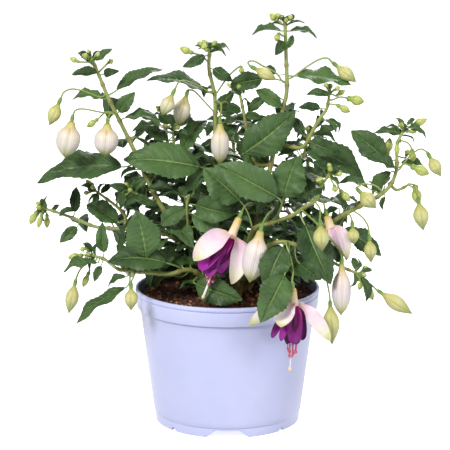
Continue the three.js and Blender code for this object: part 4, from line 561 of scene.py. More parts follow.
# The growing parts' skins: the material's name, its ramp, its clouding, the value that the ramp follows,
# its roughness and second colour, and for some how strongly that is drawn, its count of lines and how
# much light goes in
GROWN = {
    # Leaf stalks and ribs: yellow-green, smooth, full of sap
    "leaf_rib": ("leaf_stalk_and_rib", [(0, "#6F8A44"), (1, "#90A65C")], 0.4, "tone", 0.42, "#8A8A48"),
    # Young bark: olive green, brown at the foot of the stem and at the nodes where leaves have joined it
    "shoot": ("shoot_bark", [(0, "#6A4C2E"), (0.12, "#7D6A38"), (0.3, "#7F8544"), (1, "#8C9A52")], 0.2,
              "along", 0.5, "#7A5230", 0.6),
    # Flower stalks: thin, green, glossy, with a little ochre
    "stalk": ("flower_stalk_skin", [(0, "#7F9446"), (1, "#8A9448")], 0.3, "tone", 0.4, "#8F8040"),
    # Ovaries: smooth berries to be, with a bloom of wax that gives a clear highlight
    "ovary": ("ovary_skin", [(0, "#56782E"), (1, "#7C9A40")], 0.3, "along", 0.25, "#56782E"),
    # Young buds: yellow-green and waxy, with four seams a little darker than the rest
    "green_bud": ("young_bud_skin", [(0, "#6F8C38"), (0.25, "#93A548"), (0.6, "#BCC06A"), (1, "#9CAA4E")],
                  0.2, "along", 0.38, "#8A9A44", 0.5),
    # The bloom's tube: fleshy, cream with ochre lengthwise lines, warmer at its foot and mouth
    "tube_skin": ("tube_skin", [(0, "#C6AC54"), (0.3, "#E4D096"), (0.8, "#F0DDC4"), (1, "#EBBFA2")], 0.1,
                  "along", 0.4, "#D39A70", 0.35, 8, 0.2),
    # Stamen threads: pink, thin and wet-looking
    "thread": ("filament_skin", [(0, "#D2608F"), (1, "#BC3468")], 0.2, "along", 0.35, "#D2608F"),
    # Anthers: a mealy deeper pink with pale pollen
    "anther": ("anther_skin", [(0, "#B82A58"), (1, "#DE8CA0")], 0.6, "along", 0.7, "#E0A0A8"),
    # The style: smooth, white with a little pink
    "style": ("style_skin", [(0, "#EBD3DA"), (1, "#F6F0EC")], 0.2, "along", 0.35, "#F6F0EC", 0, 0, 0.2),
    # The stigma: a damp cream-coloured knob
    "stigma": ("stigma_skin", [(0, "#EFC9A0"), (1, "#F0D9B0")], 0.3, "along", 0.5, "#E0B080", 0, 0, 0.2),
}
MATERIALS = {
    "polypropylene": polypropylene(), "bud_skin": bud_skin(), "sepal": sepal_face(), "petal": petal_face(),
    # Peat: dark red-brown, almost black where it is wet
    "peat": compost("peat_compost", "#20110A", "#704024", 420.0),
    # Composted pine bark: paler red-brown flecks with a torn face
    "bark": compost("pine_bark", "#5A3018", "#C89468", 600.0),
    # The upper face is waxy and dark green; the lower is paler, matt, with raised veins
    "leaf": leaf_face("leaf_upper_face", "#233C1A", "#5B7B43", "#8FA968", -0.0012, 0.42,
                      {"Roughness": 0.5, "Specular IOR Level": 0.32}),
    "leaf_under": leaf_face("leaf_lower_face", "#365530", "#5E7D48", "#83996A", 0.0006, 0.4,
                            {"Roughness": 0.6, "Specular IOR Level": 0.3}),
    **{part: grown(*row) for part, row in GROWN.items()}}


# Shared vector work on whole arrays
def unit(v):
    return v / np.maximum(np.linalg.norm(v, axis=-1, keepdims=True), 1e-9)


def square(v, axis):
    """The part of v that is square to axis, with length 1."""
    return unit(v - np.sum(v * axis, -1, keepdims=True) * axis)


def smooth(low, high, x):
    """0 below low, 1 above high, and between them 3w^2 - 2w^3 with w = (x - low) / (high - low)."""
    w = np.clip((x - low) / (high - low), 0, 1)
    return w * w * (3 - 2 * w)


def mix(a, b, w):
    return a + (b - a) * w


UP = np.array([0, 0, 1.0])


def crossways(axis):
    """Two directions square to an axis and to each other."""
    first = square(np.array([1.0, 0, 0]) if abs(axis[2]) > 0.9 else UP, axis)
    return first, np.cross(axis, first)


SLOPE = math.radians(VIEW["elevation"])
FORWARD = np.array([0, math.cos(SLOPE), -math.sin(SLOPE)])
UPWARD = np.array([0, math.sin(SLOPE), math.cos(SLOPE)])
EYE = np.array(VIEW["target"], float) - FORWARD * VIEW["distance"]


def at(place):
    """The point that the front view shows at [across, down, depth]: a ray from the eye to the depth."""
    across, down, depth = place
    ray = FORWARD + UPWARD * ((VIEW["centre"] - down) / VIEW["focal"])
    ray[0] += (across - VIEW["centre"]) / VIEW["focal"]
    return EYE + ray * ((depth - EYE[1]) / ray[1])


def seen(points):
    """Where the front view shows points: their offset from the eye over their distance along the view."""
    away = points - EYE
    scale = VIEW["focal"] / (away @ FORWARD)
    return np.stack([VIEW["centre"] + away[..., 0] * scale, VIEW["centre"] - (away @ UPWARD) * scale], -1)


class Line:
    """A smooth line through places: between two places it is the cubic whose slope at each place is half
    the step from the place before to the place after. It is measured out by its own length."""

    def __init__(self, places):
        p = np.array(places, float)
        self.ends = np.vstack([2 * p[0] - p[1], p, 2 * p[-1] - p[-2]])
        self.spans = len(p) - 1
        self.grid = np.linspace(0, 1, 201)
        steps = np.linalg.norm(np.diff(self.points(self.grid), axis=0), axis=1)
        self.lengths = np.concatenate([[0], np.cumsum(steps)])
        self.length = self.lengths[-1]

    def points(self, t):
        x = np.asarray(t, float) * self.spans
        k = np.minimum(x.astype(int), self.spans - 1)
        w = (x - k)[..., None]
        a, b, c, d = (self.ends[k + i] for i in range(4))
        out, back = (c - a) / 2, (d - b) / 2
        return b + out * w + (3 * (c - b) - 2 * out - back) * w**2 + (2 * (b - c) + out + back) * w**3

    def share(self, u):
        return np.interp(np.asarray(u, float) * self.length, self.lengths, self.grid)

    def along(self, u):
        return self.points(self.share(u))

    def slopes(self, u):
        t = self.share(u)
        return unit(self.points(np.minimum(t + 1e-4, 1)) - self.points(np.maximum(t - 1e-4, 0)))


# Every surface here is a skin: rings of points from one pole to the other. A piece is several skins in
# one mesh, each with its materials and three values at its points: how far along it is, how far across,
# and a tone of its own.
def skin(rings, finish, along=0.0, across=0.0, tone=0.5, mark=0.0):
    """A closed surface from rings (rows, columns, 3) in millimetres, closed round and with a point in the
    middle of each end. finish is a material's name, or one name for each column of faces."""
    rows, columns = rings.shape[:2]
    poles = np.stack([rings[0].mean(0), rings[-1].mean(0)])
    points = np.vstack([rings.reshape(-1, 3), poles])
    i, j = np.meshgrid(np.arange(rows - 1), np.arange(columns), indexing="ij")
    a, b = i * columns + j, i * columns + (j + 1) % columns
    quads = np.stack([a, b, b + columns, a + columns], -1).reshape(-1, 4)
    j = np.arange(columns)
    after = (j + 1) % columns
    start, end = rows * columns, rows * columns + 1
    last = (rows - 1) * columns
    fans = np.vstack([np.stack([np.full(columns, start), after, j], -1),
                      np.stack([np.full(columns, end), last + j, last + after], -1)])
    triangles = np.vstack([quads[:, [0, 1, 2]], quads[:, [0, 2, 3]], fans])
    corner = points[triangles] - points.mean(0)
    volume = np.einsum("ij,ij->i", corner[:, 0], np.cross(corner[:, 1], corner[:, 2])).sum()
    if volume < 0:
        quads, fans = quads[:, ::-1], fans[:, ::-1]

    def values(given):
        full = np.broadcast_to(np.asarray(given, float), (rows, columns))
        return np.concatenate([full.reshape(-1), [full[0].mean(), full[-1].mean()]])

    names = np.array([finish] * columns if isinstance(finish, str) else finish)
    return {"points": points, "quads": quads, "fans": fans,
            "quad_finish": np.tile(names, rows - 1), "fan_finish": np.tile(names, 2),
            "along": values(along), "across": values(across), "tone": values(tone), "mark": values(mark)}


def tube(path, radii, sides, finish, tone=0.5, along=None, mark=0.0):
    """A round skin along a path: circles of the given radii, square to the path and turned by one
    direction that the path never points in."""
    path = np.asarray(path, float)
    slopes = unit(np.gradient(path, axis=0))
    level = np.linalg.eigh(slopes.T @ slopes)[1][:, 0]
    first = square(np.broadcast_to(level, slopes.shape), slopes)
    second = np.cross(slopes, first)
    angle = np.linspace(0, 2 * np.pi, sides, endpoint=False)
    reach = np.broadcast_to(radii, len(path))[:, None, None]
    round_ = first[:, None] * np.cos(angle)[None, :, None] + second[:, None] * np.sin(angle)[None, :, None]
    if along is None:
        along = np.linspace(0, 1, len(path))
    return skin(path[:, None] + round_ * reach, finish, along=np.asarray(along)[:, None],
                across=np.abs(angle[None, :] / np.pi - 1), tone=tone, mark=mark)


def leafy(middle, half, top, under, along, across, tone=0.5, mark=0.0):
    """A thin closed skin round a middle surface (rows, columns, 3): its two faces lie half, (rows,
    columns), to either side of it along its normal, and meet at its edges."""
    down = np.gradient(middle, axis=0)
    over = np.gradient(middle, axis=1)
    normal = np.cross(over, down)
    size = np.linalg.norm(normal, axis=-1, keepdims=True)
    normal = np.where(size > 1e-6, normal / np.maximum(size, 1e-9), 0)
    steady = unit(normal.sum(1, keepdims=True))
    flat = unit(np.where(size > 1e-6, normal, steady))
    columns = middle.shape[1]
    back = slice(columns - 2, 0, -1)

    def around(front, rear):
        return np.concatenate([front, rear[:, back]], 1)

    offset = flat * half[..., None]
    finish = [top] * (columns - 1) + [under] * (columns - 1)
    spread = [np.broadcast_to(v, middle.shape[:2]) for v in (along, across, mark)]
    along, across, mark = (around(v, v) for v in spread)
    return skin(around(middle + offset, middle - offset), finish, along, across, tone, mark)


def piece(name, node, skins, finishes, sharp=50):
    """One object from skins, in place of a node of the solids. Edges that turn by more than sharp
    degrees stay sharp."""
    sizes = [len(s["points"]) for s in skins]
    starts = np.concatenate([[0], np.cumsum(sizes)])[:-1]
    points = np.vstack([s["points"] for s in skins]) * MM
    quads = np.vstack([s["quads"] + k for s, k in zip(skins, starts)])
    fans = np.vstack([s["fans"] + k for s, k in zip(skins, starts)])
    order = {finish: k for k, finish in enumerate(finishes)}
    names = np.concatenate([s["quad_finish"] for s in skins] + [s["fan_finish"] for s in skins])
    corners = np.concatenate([quads.ravel(), fans.ravel()]).astype(np.int32)
    begins = np.concatenate([np.arange(len(quads)) * 4, len(quads) * 4 + np.arange(len(fans)) * 3])
    mesh = bpy.data.meshes.new(name)
    mesh.vertices.add(len(points))
    mesh.vertices.foreach_set("co", points.astype(np.float32).ravel())
    mesh.loops.add(len(corners))
    mesh.loops.foreach_set("vertex_index", corners)
    mesh.polygons.add(len(begins))
    mesh.polygons.foreach_set("loop_start", begins.astype(np.int32))
    for finish in finishes:
        mesh.materials.append(MATERIALS[finish])
    mesh.polygons.foreach_set("material_index", np.array([order[n] for n in names], np.int32))
    mesh.update(calc_edges=True)
    for value in ("along", "across", "tone", "mark"):
        layer = mesh.attributes.new(value, "FLOAT", "POINT")
        layer.data.foreach_set("value", np.concatenate([s[value] for s in skins]).astype(np.float32))
    mesh.polygons.foreach_set("use_smooth", np.ones(len(begins), bool))
    mesh.set_sharp_from_angle(angle=math.radians(sharp))
    mesh.validate()
    made = bpy.data.objects.new(name, mesh)
    bpy.context.scene.collection.objects.link(made)
    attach(made, "root")
    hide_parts(node)
    return made


# Stems, leaves, shoot tips, stalks and buds
def corners_of(node):
    """The corners of a solid in millimetres, which show how each leaf bent to keep clear of the rest."""
    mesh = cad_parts[node].data
    corners = np.empty(len(mesh.vertices) * 3)
    mesh.vertices.foreach_get("co", corners)
    return corners.reshape(-1, 3) / MM


def stem_lines(stem):
    """The smooth centre lines of a stem and its branches, each with its radii and with the points close
    along it where leaves and stalks may join it."""
    place = np.array if stem.get("axes") else at
    lines = []
    for branch in [stem, *stem.get("branches", [])]:
        route = [place(p) for p in branch["route"]]
        if branch is stem:
            root = [np.array([*stem["base"], height], float) for height in (STEM["foot"], STEM["collar"])]
        else:
            root = [nearest(lines[:1], route[0])]
        curve = Line(root + route)
        count = max(1, round(curve.length / STEM["step"]))
        stations = curve.along(np.linspace(0, 1, count + 1))
        share = np.arange(STEM["joints"])[None, :, None] / STEM["joints"]
        points = mix(stations[:-1, None], stations[1:, None], share).reshape(-1, 3)[2:]
        lines.append({"curve": curve, "radius": branch["radius"], "points": points, "first": branch is stem,
                      "bare": branch.get("bare", False)})
    return lines


def nearest(lines, place):
    """The joining point of the lines that lies nearest to a place, in space or, where the place is only
    [across, down], in the front view."""
    points = np.vstack([line["points"] for line in lines])
    shown = seen(points) if len(place) == 2 else points
    return points[np.argmin(np.linalg.norm(shown - np.array(place, float), axis=1))]


def viewed_leaf(lines, row):
    """Every way that a leaf given by places in the front view may bend, the least change first."""
    base_place, tip_place, width, behind, beyond = row[:2], row[2:4], row[4], row[5], row[6]
    stem = nearest(lines, row[7:] or base_place)
    apparent = abs(width) * PIXEL
    for shift in (0, -4, 4, -8, 8, -12, 12, -17, 17, -22, 22):
        for lean in (0, -6, 6):
            depth = stem[1] + behind + shift
            base, tip = at([*base_place, depth]), at([*tip_place, depth + beyond + lean])
            axis = unit(tip - base)
            real = max(apparent, min(BLADE["ratio"] * np.linalg.norm(tip - base), 3 * apparent))
            facing = -square(FORWARD, axis)
            edge = np.cross(axis, facing)
            edge = edge if edge[2] >= 0 else -edge
            shown = math.copysign(apparent, width) / real
            hint = facing * shown + edge * math.sqrt(1 - shown * shown)
            yield {"stem": stem, "base": base, "tip": tip, "width": real, "hint": hint}


def grown_leaf(point, tangent, turn, length, pitch, twist):
    """Every way that a leaf grown by rule may bend: it leaves its stem square to it at the angle turn,
    and its blade leans by pitch from the level."""
    first = unit(np.cross(tangent, [0, 1, 0]))
    second = np.cross(tangent, first)
    for scale in (1, 0.8, 0.62):
        for dip in (0, -25, 25):
            for swing in (0, 30, -30, 60, -60):
                angle, slope = math.radians(turn + swing), math.radians(pitch + dip)
                out = first * math.cos(angle) + second * math.sin(angle)
                base = point + unit(out + tangent * GROWTH["lift"]) * GROWTH["petiole"]
                level = unit(np.array([out[0], out[1], GROWTH["level"] * out[2]]))
                axis = unit(level * math.cos(slope) + UP * math.sin(slope))
                tip = base + axis * length * scale
                yield {"stem": point, "base": base, "tip": tip, "width": BLADE["ratio"] * length * scale,
                       "hint": UP + np.cross(axis, UP) * twist}


def paired_leaves(stem, main):
    """The pairs of leaves that grow by rule along a stem, with the solids' own row of random numbers:
    each is 16807 times the one before, as a share of 2^31 - 1."""
    count, start, end, blade = stem["pairs"]
    for k in range(count * 2):
        pair = k // 2
        where = start + (end - start) * (pair + 0.5) / count
        point = nearest([main], main["curve"].along(where))
        turn = 90 * (pair % 2) + 180 * (k % 2) + GROWTH["turn"] * (next(DRAWS) - 0.5)
        full = blade * (GROWTH["young"] - GROWTH["shrink"] * where)
        length = full * (GROWTH["least"] + GROWTH["spread"] * next(DRAWS))
        low, high = GROWTH["pitch"]
        pitch = low + (high - low) * next(DRAWS)
        twist = GROWTH["twist"] * (next(DRAWS) - 0.5)
        yield grown_leaf(point, main["curve"].slopes(where), turn, length, pitch, twist)


def draws(seed=20261):
    """The solids' row of random numbers."""
    while True:
        seed = seed * 16807 % 2147483647
        yield seed / 2147483647


DRAWS = draws()


def rib_of(leaf, t):
    """A leaf's rib at the shares t, and its direction there: the curve of the second degree from base
    to tip through a middle that is bowed to the face."""
    base, tip = leaf["base"], leaf["tip"]
    axis = unit(tip - base)
    normal = square(leaf["hint"], axis)
    middle = (base + tip) / 2 + normal * 2 * BLADE["bow"] * np.linalg.norm(tip - base)
    t = np.asarray(t, float)[..., None]
    rib = base * (1 - t) ** 2 + middle * 2 * t * (1 - t) + tip * t * t
    slope = unit((middle - base) * (1 - t) + (tip - middle) * t)
    side = np.cross(axis, normal)
    return rib, slope, side, unit(np.cross(side, slope))


# How far in mm a tip may lie from a corner of the solids and still be the same
SAME = 0.06


def settled(ways, corners):
    """The first way to bend whose tip the solids have, or None where the solids left the leaf out."""
    for leaf in ways:
        face = rib_of(leaf, 1.0)[3]
        tips = leaf["tip"] + np.outer([BLADE["half"], -BLADE["half"]], face)
        if np.linalg.norm(corners[None] - tips[:, None], axis=2).min(1).max() < SAME:
            return leaf
    return None


# Least length of a leaf's blade in mm, its teeth on a side, the rows for each tooth, its columns, the
# places along its stalk and along its rib, and the rib's sides, then the least and most of its fold, of
# its curl at the tip and of the waves of its margin
LEAF_SIZES = [(34, 12, 4, 12, 6, 12, 6, (0.22, 0.55), (-0.02, 0.06), (0.04, 0.09)),
              (25, 8, 4, 8, 4, 8, 5, (0.35, 0.8), (0.08, 0.24), (0.08, 0.16)),
              (15, 8, 3, 6, 4, 8, 5, (0.35, 0.8), (0.08, 0.24), (0.08, 0.16)),
              (0, 5, 3, 6, 3, 5, 4, (0.5, 1.0), (0.12, 0.35), (0.05, 0.12))]


def half_width(leaf, t):
    """Half of a blade's width at the shares t of its length: t^0.72 (1 - t), whose greatest is 0.3106."""
    return leaf["width"] / 2 * t**0.72 * (1 - t) / 0.3106


def leaf_skins(leaf, rng, tone):
    """A leaf: its stalk and midrib as one tapering tube, and its blade, whose margins have forward
    teeth. Across it, it rises from the rib as a shallow V that bends over at its margins, it waves along
    its margins, and it swells between its side veins, which lie where n (t - 0.2 |s| - 0.08 s^2) is
    whole. Its rib swings to one side as sin(pi t) and curls down at the tip. t runs along the rib and s
    from -1 to 1 across it."""
    length = np.linalg.norm(leaf["tip"] - leaf["base"])
    _, teeth, steps, columns, joints, places, sides, *shape = next(
        size for size in LEAF_SIZES if length > size[0])
    fold, curl, ripple = (rng.uniform(*each) for each in shape)
    swing = rng.uniform(-0.05, 0.05) * length
    rows = teeth * steps
    place = np.arange(rows)
    t = ((place + 0.5) / rows)[:, None]
    s = np.linspace(-1, 1, columns + 1)[None, :]

    def spine(share):
        rib, slope, side, face = rib_of(leaf, share)
        down = length * curl * smooth(0.45, 1, share) ** 2
        return (rib + side * (swing * np.sin(np.pi * share))[:, None] - face * down[:, None], slope, side,
                face)

    rib, _, side, face = spine(t[:, 0])
    saw = np.interp(place % steps, [0, steps - 1], [-0.6, 1])[:, None]
    uneven = 1 + 0.05 * np.sin(2 * np.pi * (2.3 * t + rng.uniform(0, 1))) * np.sign(s)
    cut = uneven * (1 + 0.055 * saw * smooth(0, 0.12, t) * smooth(0, 0.08, 1 - t))
    wide = half_width(leaf, t) * cut
    veins = 8 if teeth == 12 else 6
    swell = np.abs(np.sin(np.pi * veins * (t - VEIN["lean"] * np.abs(s) - VEIN["bend"] * s * s)))
    phase, pace = rng.uniform(0, 2 * np.pi, 2), rng.uniform(1.4, 2.8, 2)
    wave = np.where(s > 0, np.sin(2 * np.pi * pace[0] * t + phase[0]),
                    np.sin(2 * np.pi * pace[1] * t + phase[1]))
    rise = (wide * (fold * np.abs(s) - 0.2 * s * s)
            + 2 * wide * ripple * wave * s * s * smooth(0, 0.3, t)
            + leaf["width"] * 0.055 * swell * (1 - s * s) * np.minimum(1, np.abs(s) * 5)
            * smooth(0, 0.15, 1 - t))
    middle = rib[:, None] + side * (s * wide)[..., None] + face[:, None] * rise[..., None]
    half = 0.2 * np.sqrt(1 - 0.97 * s * s) * np.ones_like(t)
    skins = [leafy(middle, half, "leaf", "leaf_under", t, s, tone, veins)]

    rib, slope, _, _ = spine(np.linspace(0.03, 0.94, places))
    size = min(1.0, 0.45 + length / 90)
    radii = size * np.linspace(0.62, 0.18, places)
    stalk = leaf["base"] - leaf["stem"]
    reach = np.linalg.norm(stalk)
    if reach > 0.5:
        u = np.linspace(0, 1, joints + 1)[:-1, None]
        elbow = leaf["base"] - slope[0] * 0.4 * reach
        arc = leaf["stem"] * (1 - u) ** 2 + elbow * 2 * u * (1 - u) + leaf["base"] * u * u
        rib, radii = np.vstack([arc, rib]), np.concatenate([size * np.linspace(0.8, 0.64, joints), radii])
    skins.append(tube(rib, radii, sides, "leaf_rib", tone))
    return skins


def samples(leaf, rows=9, columns=5):
    """Points spread evenly over a leaf's blade, by which new leaves keep their distance from it."""
    share = np.linspace(0.08, 0.95, rows)
    rib, _, side, _ = rib_of(leaf, share)
    wide = half_width(leaf, share) * 0.85
    return (rib[:, None] + side * (wide[:, None] * np.linspace(-1, 1, columns))[..., None]).reshape(-1, 3)


# The dense heart of the bush in the front view, which the small inner leaves fill
HEART = np.array([(86, 196), (112, 178), (128, 156), (160, 126), (190, 118), (214, 98), (240, 92),
                  (300, 104), (332, 112), (358, 142), (388, 166), (390, 186), (366, 208), (344, 224),
                  (340, 262), (322, 286), (230, 292), (160, 288), (128, 264), (118, 236), (96, 216)], float)
# Where the inner leaves may lie, in millimetres: from front to back, above the pot, and for a shoot at
# the back to either side and up; how far they keep from the taken points, and in pixels from shown ones;
# and how many are tried on a stem, and on a shoot at the back
INNER = {"front": -34, "back": 102, "low": 99, "side": 100, "high": 235, "apart": 3, "clear": 7,
         "tries": 1000, "tries_back": 300}


def inside(outline, points):
    """Whether points lie in an outline: they do when a line from them to one side crosses it an odd
    number of times."""
    a, b = outline[None], np.roll(outline, -1, 0)[None]
    p = np.atleast_2d(points)[:, None]
    between = (a[..., 1] > p[..., 1]) != (b[..., 1] > p[..., 1])
    with np.errstate(divide="ignore", invalid="ignore"):
        across = a[..., 0] + (p[..., 1] - a[..., 1]) / (b[..., 1] - a[..., 1]) * (b[..., 0] - a[..., 0])
    return (between & (p[..., 0] < across)).sum(1) % 2 == 1


def inner_leaves(lines, taken, shown, rng, back):
    """The small leaves that fill the heart of the bush. Each is tried at a random place of a stem, with a
    random turn, length and lean, and kept if it lies in the heart, clear of the taken points, and
    nowhere in front of the shown ones, which the front view has to show."""
    kept, shown_places = [], seen(shown)
    for _ in range(INNER["tries_back"] if back else INNER["tries"]):
        line = lines[rng.integers(len(lines))]
        u = rng.uniform(0.2, 0.96)
        point, tangent = line["curve"].along(u), line["curve"].slopes(u)
        first, second = crossways(tangent)
        turn, length = rng.uniform(0, 2 * np.pi), rng.uniform(15, 33) * (1.1 - 0.35 * u)
        out = first * math.cos(turn) + second * math.sin(turn)
        base = point + unit(out + tangent * 0.6) * rng.uniform(4, 9)
        slope = math.radians(rng.uniform(-45, 35))
        axis = unit(unit(np.array([out[0], out[1], 0.2 * out[2]])) * math.cos(slope) + UP * math.sin(slope))
        leaf = {"stem": point, "base": base, "tip": base + axis * length, "width": 0.52 * length,
                "hint": UP + np.cross(axis, UP) * rng.uniform(-0.9, 0.9) - FORWARD * rng.uniform(0, 0.8)}
        spots = samples(leaf, 5, 3)
        if (spots[:, 1].min() < INNER["front"] or spots[:, 1].max() > INNER["back"]
                or spots[:, 2].min() < INNER["low"]):
            continue
        if not back and not inside(HEART, seen(spots)).all():
            continue
        if back and (np.abs(spots[:, 0]).max() > INNER["side"] or spots[:, 2].max() > INNER["high"]):
            continue
        apart = np.linalg.norm(shown_places[None] - seen(spots)[:, None], axis=2)
        if ((apart < INNER["clear"]) & (spots[:, None, 1] < shown[None, :, 1] + INNER["apart"])).any():
            continue
        if np.linalg.norm(taken[None] - spots[:, None], axis=2).min() > INNER["apart"]:
            taken = np.vstack([taken, samples(leaf)])
            kept.append(leaf)
    return kept, taken


def shoot_tip(line, rng):
    """The growing end of a shoot: three pairs of young leaves, each pair a quarter turn from the last,
    and three or four tiny buds between them. A leaf leans from the shoot by an angle that grows with
    its age, and its face looks to the shoot's tip."""
    end, axis = line["curve"].along(1.0), line["curve"].slopes(1.0)
    first, second = crossways(axis)
    skins, quarter = [], rng.uniform(0, np.pi)
    for k in range(6):
        age = k // 2
        turn = quarter + age * np.pi / 2 + (k % 2) * np.pi + rng.uniform(-0.3, 0.3)
        lean = math.radians(24 + 26 * age + rng.uniform(-10, 10))
        out = first * math.cos(turn) + second * math.sin(turn)
        base = end - axis * (2.2 * age) + out * 0.6
        length = (5 + 4 * age) * rng.uniform(0.8, 1.2)
        tip = base + (axis * math.cos(lean) + out * math.sin(lean)) * length
        leaf = {"stem": base, "base": base, "tip": tip, "width": 0.44 * length,
                "hint": axis * math.sin(lean) - out * math.cos(lean)}
        skins += leaf_skins(leaf, rng, rng.uniform(0.3, 0.6))
    for k in range(rng.integers(3, 6)):
        turn = quarter + 0.8 + 1.9 * k
        out = first * math.cos(turn) + second * math.sin(turn)
        reach = rng.uniform(1.5, 4.0)
        spot = end - axis * (0.5 + 1.4 * (k // 2))
        top = spot + out * reach + axis * rng.uniform(1, 2.5)
        hang = unit(out + axis * rng.uniform(0.2, 1.2))
        bud = {"name": None, "points": [spot, spot + out * reach * 0.5 + axis * 0.8, top],
               "tip": top + hang * rng.uniform(5, 8), "width": rng.uniform(3, 4.2)}
        skins += stalk_skins(bud, rng.uniform(0, 1))
    return skins


def stem_skin(line, tone):
    """A stem: a round tube along its line, tapered evenly, with a swelling every 15 mm where leaves
    join it: 1 + 0.4 exp(-(d / 1.3 mm)^2)."""
    curve = line["curve"]
    u = np.linspace(0, 1, max(8, int(curve.length / 1.6)))
    away = (u * curve.length + 7) % 15 - 7
    node = np.exp(-(away / 1.3) ** 2)
    radii = mix(line["radius"][0], line["radius"][1], u) * 1.1 * (1 + 0.4 * node)
    ripe = u if line["first"] else mix(0.3, 1, u)
    return tube(curve.along(u), radii, 10, "shoot", tone, along=ripe, mark=node[:, None])


def turned_skin(start, tip, profile, rows, sides, finish, tone=0.5, ridges=0, groove=0.0):
    """A turned form between two points, from its profile of radii at shares of its length, joined by a
    smooth curve. Its radius is pressed in at each of the seams between its ridges, as
    1 - groove exp(-(a / 0.13)^2) with a the angle from the seam."""
    profile = np.array(profile, float)
    run = Line(np.column_stack([profile[:, 0], profile[:, 1], np.zeros(len(profile))]))
    shape = run.along(np.linspace(0, 1, rows))
    axis = unit(tip - start)
    first, second = crossways(axis)
    angle = np.linspace(0, 2 * np.pi, sides, endpoint=False)
    press, seam = np.ones(sides), np.zeros(sides)
    if ridges:
        away = (angle + np.pi / ridges) % (2 * np.pi / ridges) - np.pi / ridges
        seam = np.exp(-(away / 0.13) ** 2)
        press = 1 - groove * seam
    length = np.linalg.norm(tip - start)
    deep = smooth(0, 0.3, shape[:, 1])[:, None] if ridges else np.ones((rows, 1))
    reach = np.maximum(shape[:, :1], 0.02) * mix(1, press[None, :], deep)
    ring = first * np.cos(angle)[:, None] + second * np.sin(angle)[:, None]
    rings = start + axis * (shape[:, 1:2] * length)[..., None] + ring[None] * reach[..., None]
    return skin(rings, finish, along=shape[:, 1:2], across=np.abs(angle[None, :] / np.pi - 1), tone=tone,
                mark=seam[None, :] * deep)


def stalk_of(stem, lines, row):
    """A stalk's places, from the stem to the bud's top, and the bud's tip and width."""
    if stem.get("axes"):
        name, path, top, tip, width = row
        places = [np.array(p, float) for p in [*path, top]]
        start = nearest(lines, places[0])
        return {"name": name, "points": [start, *places], "tip": np.array(tip, float), "width": width}
    name, path, top_across, top_down, tip_across, tip_down, width, depth = row
    places = [*path, [top_across, top_down]]
    start = nearest(lines, places[0])
    points = [at([*p, mix(start[1], depth, (k + 1) / len(places))]) for k, p in enumerate(places)]
    return {"name": name, "points": [start, *points], "tip": at([tip_across, tip_down, depth]),
            "width": width * PIXEL}


GREEN_BUD = [[0.2, 0.0], [0.26, 0.06], [0.3, 0.14], [0.24, 0.22], [0.3, 0.3], [0.45, 0.44], [0.5, 0.56],
             [0.42, 0.72], [0.26, 0.88], [0.06, 1.0]]
# A green bud up to this width in millimetres has fewer faces
TINY_BUD = 4.5
OVARY_PROFILE = [[0.75, 0.0], [1.1, 0.12], [1.42, 0.3], [1.58, 0.52], [1.5, 0.76], [1.3, 0.94], [1.1, 1.0]]


def stalk_skins(stalk, tone):
    """A flower stalk along its line, and at its end the ovary, or a small green bud whose profile holds
    its own ovary, a waist and four seams."""
    curve = Line(stalk["points"])
    top, tip = stalk["points"][-1], stalk["tip"]
    u = np.linspace(0, 1, max(8, int(curve.length / 1.5)))
    skins = [tube(curve.along(u), STALK_RADIUS * np.interp(u, [0, 0.1, 0.9, 1], [1.25, 1, 1, 1.15]), 7,
                  "stalk", tone)]
    axis = unit(tip - top)
    if stalk["name"]:
        skins.append(turned_skin(top - axis * 0.3, top + axis * (OVARY["length"] + 0.5), OVARY_PROFILE,
                                 12, 14, "ovary", tone))
    else:
        profile = [[max(radius * stalk["width"], 0.1), share] for radius, share in GREEN_BUD]
        rows, sides = (18, 16) if stalk["width"] > TINY_BUD else (13, 12)
        skins.append(turned_skin(top, tip, profile, rows, sides, "green_bud", tone, 4, 0.07))
    return skins


# Radii at the same shares of a bud's length, when it is young and when it is ripe: a young bud is a
# spindle, and a ripe one has a tube and a fat body
BUD_SHARES = [0, 0.07, 0.13, 0.19, 0.27, 0.37, 0.5, 0.62, 0.74, 0.85, 0.92, 0.965, 1]
YOUNG_BUD = [0.24, 0.38, 0.54, 0.70, 0.86, 0.96, 0.96, 0.82, 0.59, 0.34, 0.19, 0.10, 0.03]
RIPE_BUD = [0.24, 0.33, 0.36, 0.50, 0.74, 0.93, 1.0, 0.98, 0.86, 0.60, 0.34, 0.15, 0.03]


def bud_skins(stalk, tone):
    """A fat bud below its ovary: a short tube, then the four sepals that are still joined, with a seam
    at each join, drawn to a point."""
    top, tip = stalk["points"][-1], stalk["tip"]
    axis = unit(tip - top)
    start = top + axis * (OVARY["length"] + OVARY["gap"] - 0.2)
    radii = mix(np.array(YOUNG_BUD), np.array(RIPE_BUD), tone) * stalk["width"] / 2
    return [turned_skin(start, tip + axis * 1.2, np.column_stack([radii, BUD_SHARES]), 44, 48, "bud_skin",
                        tone, 4, 0.1)]


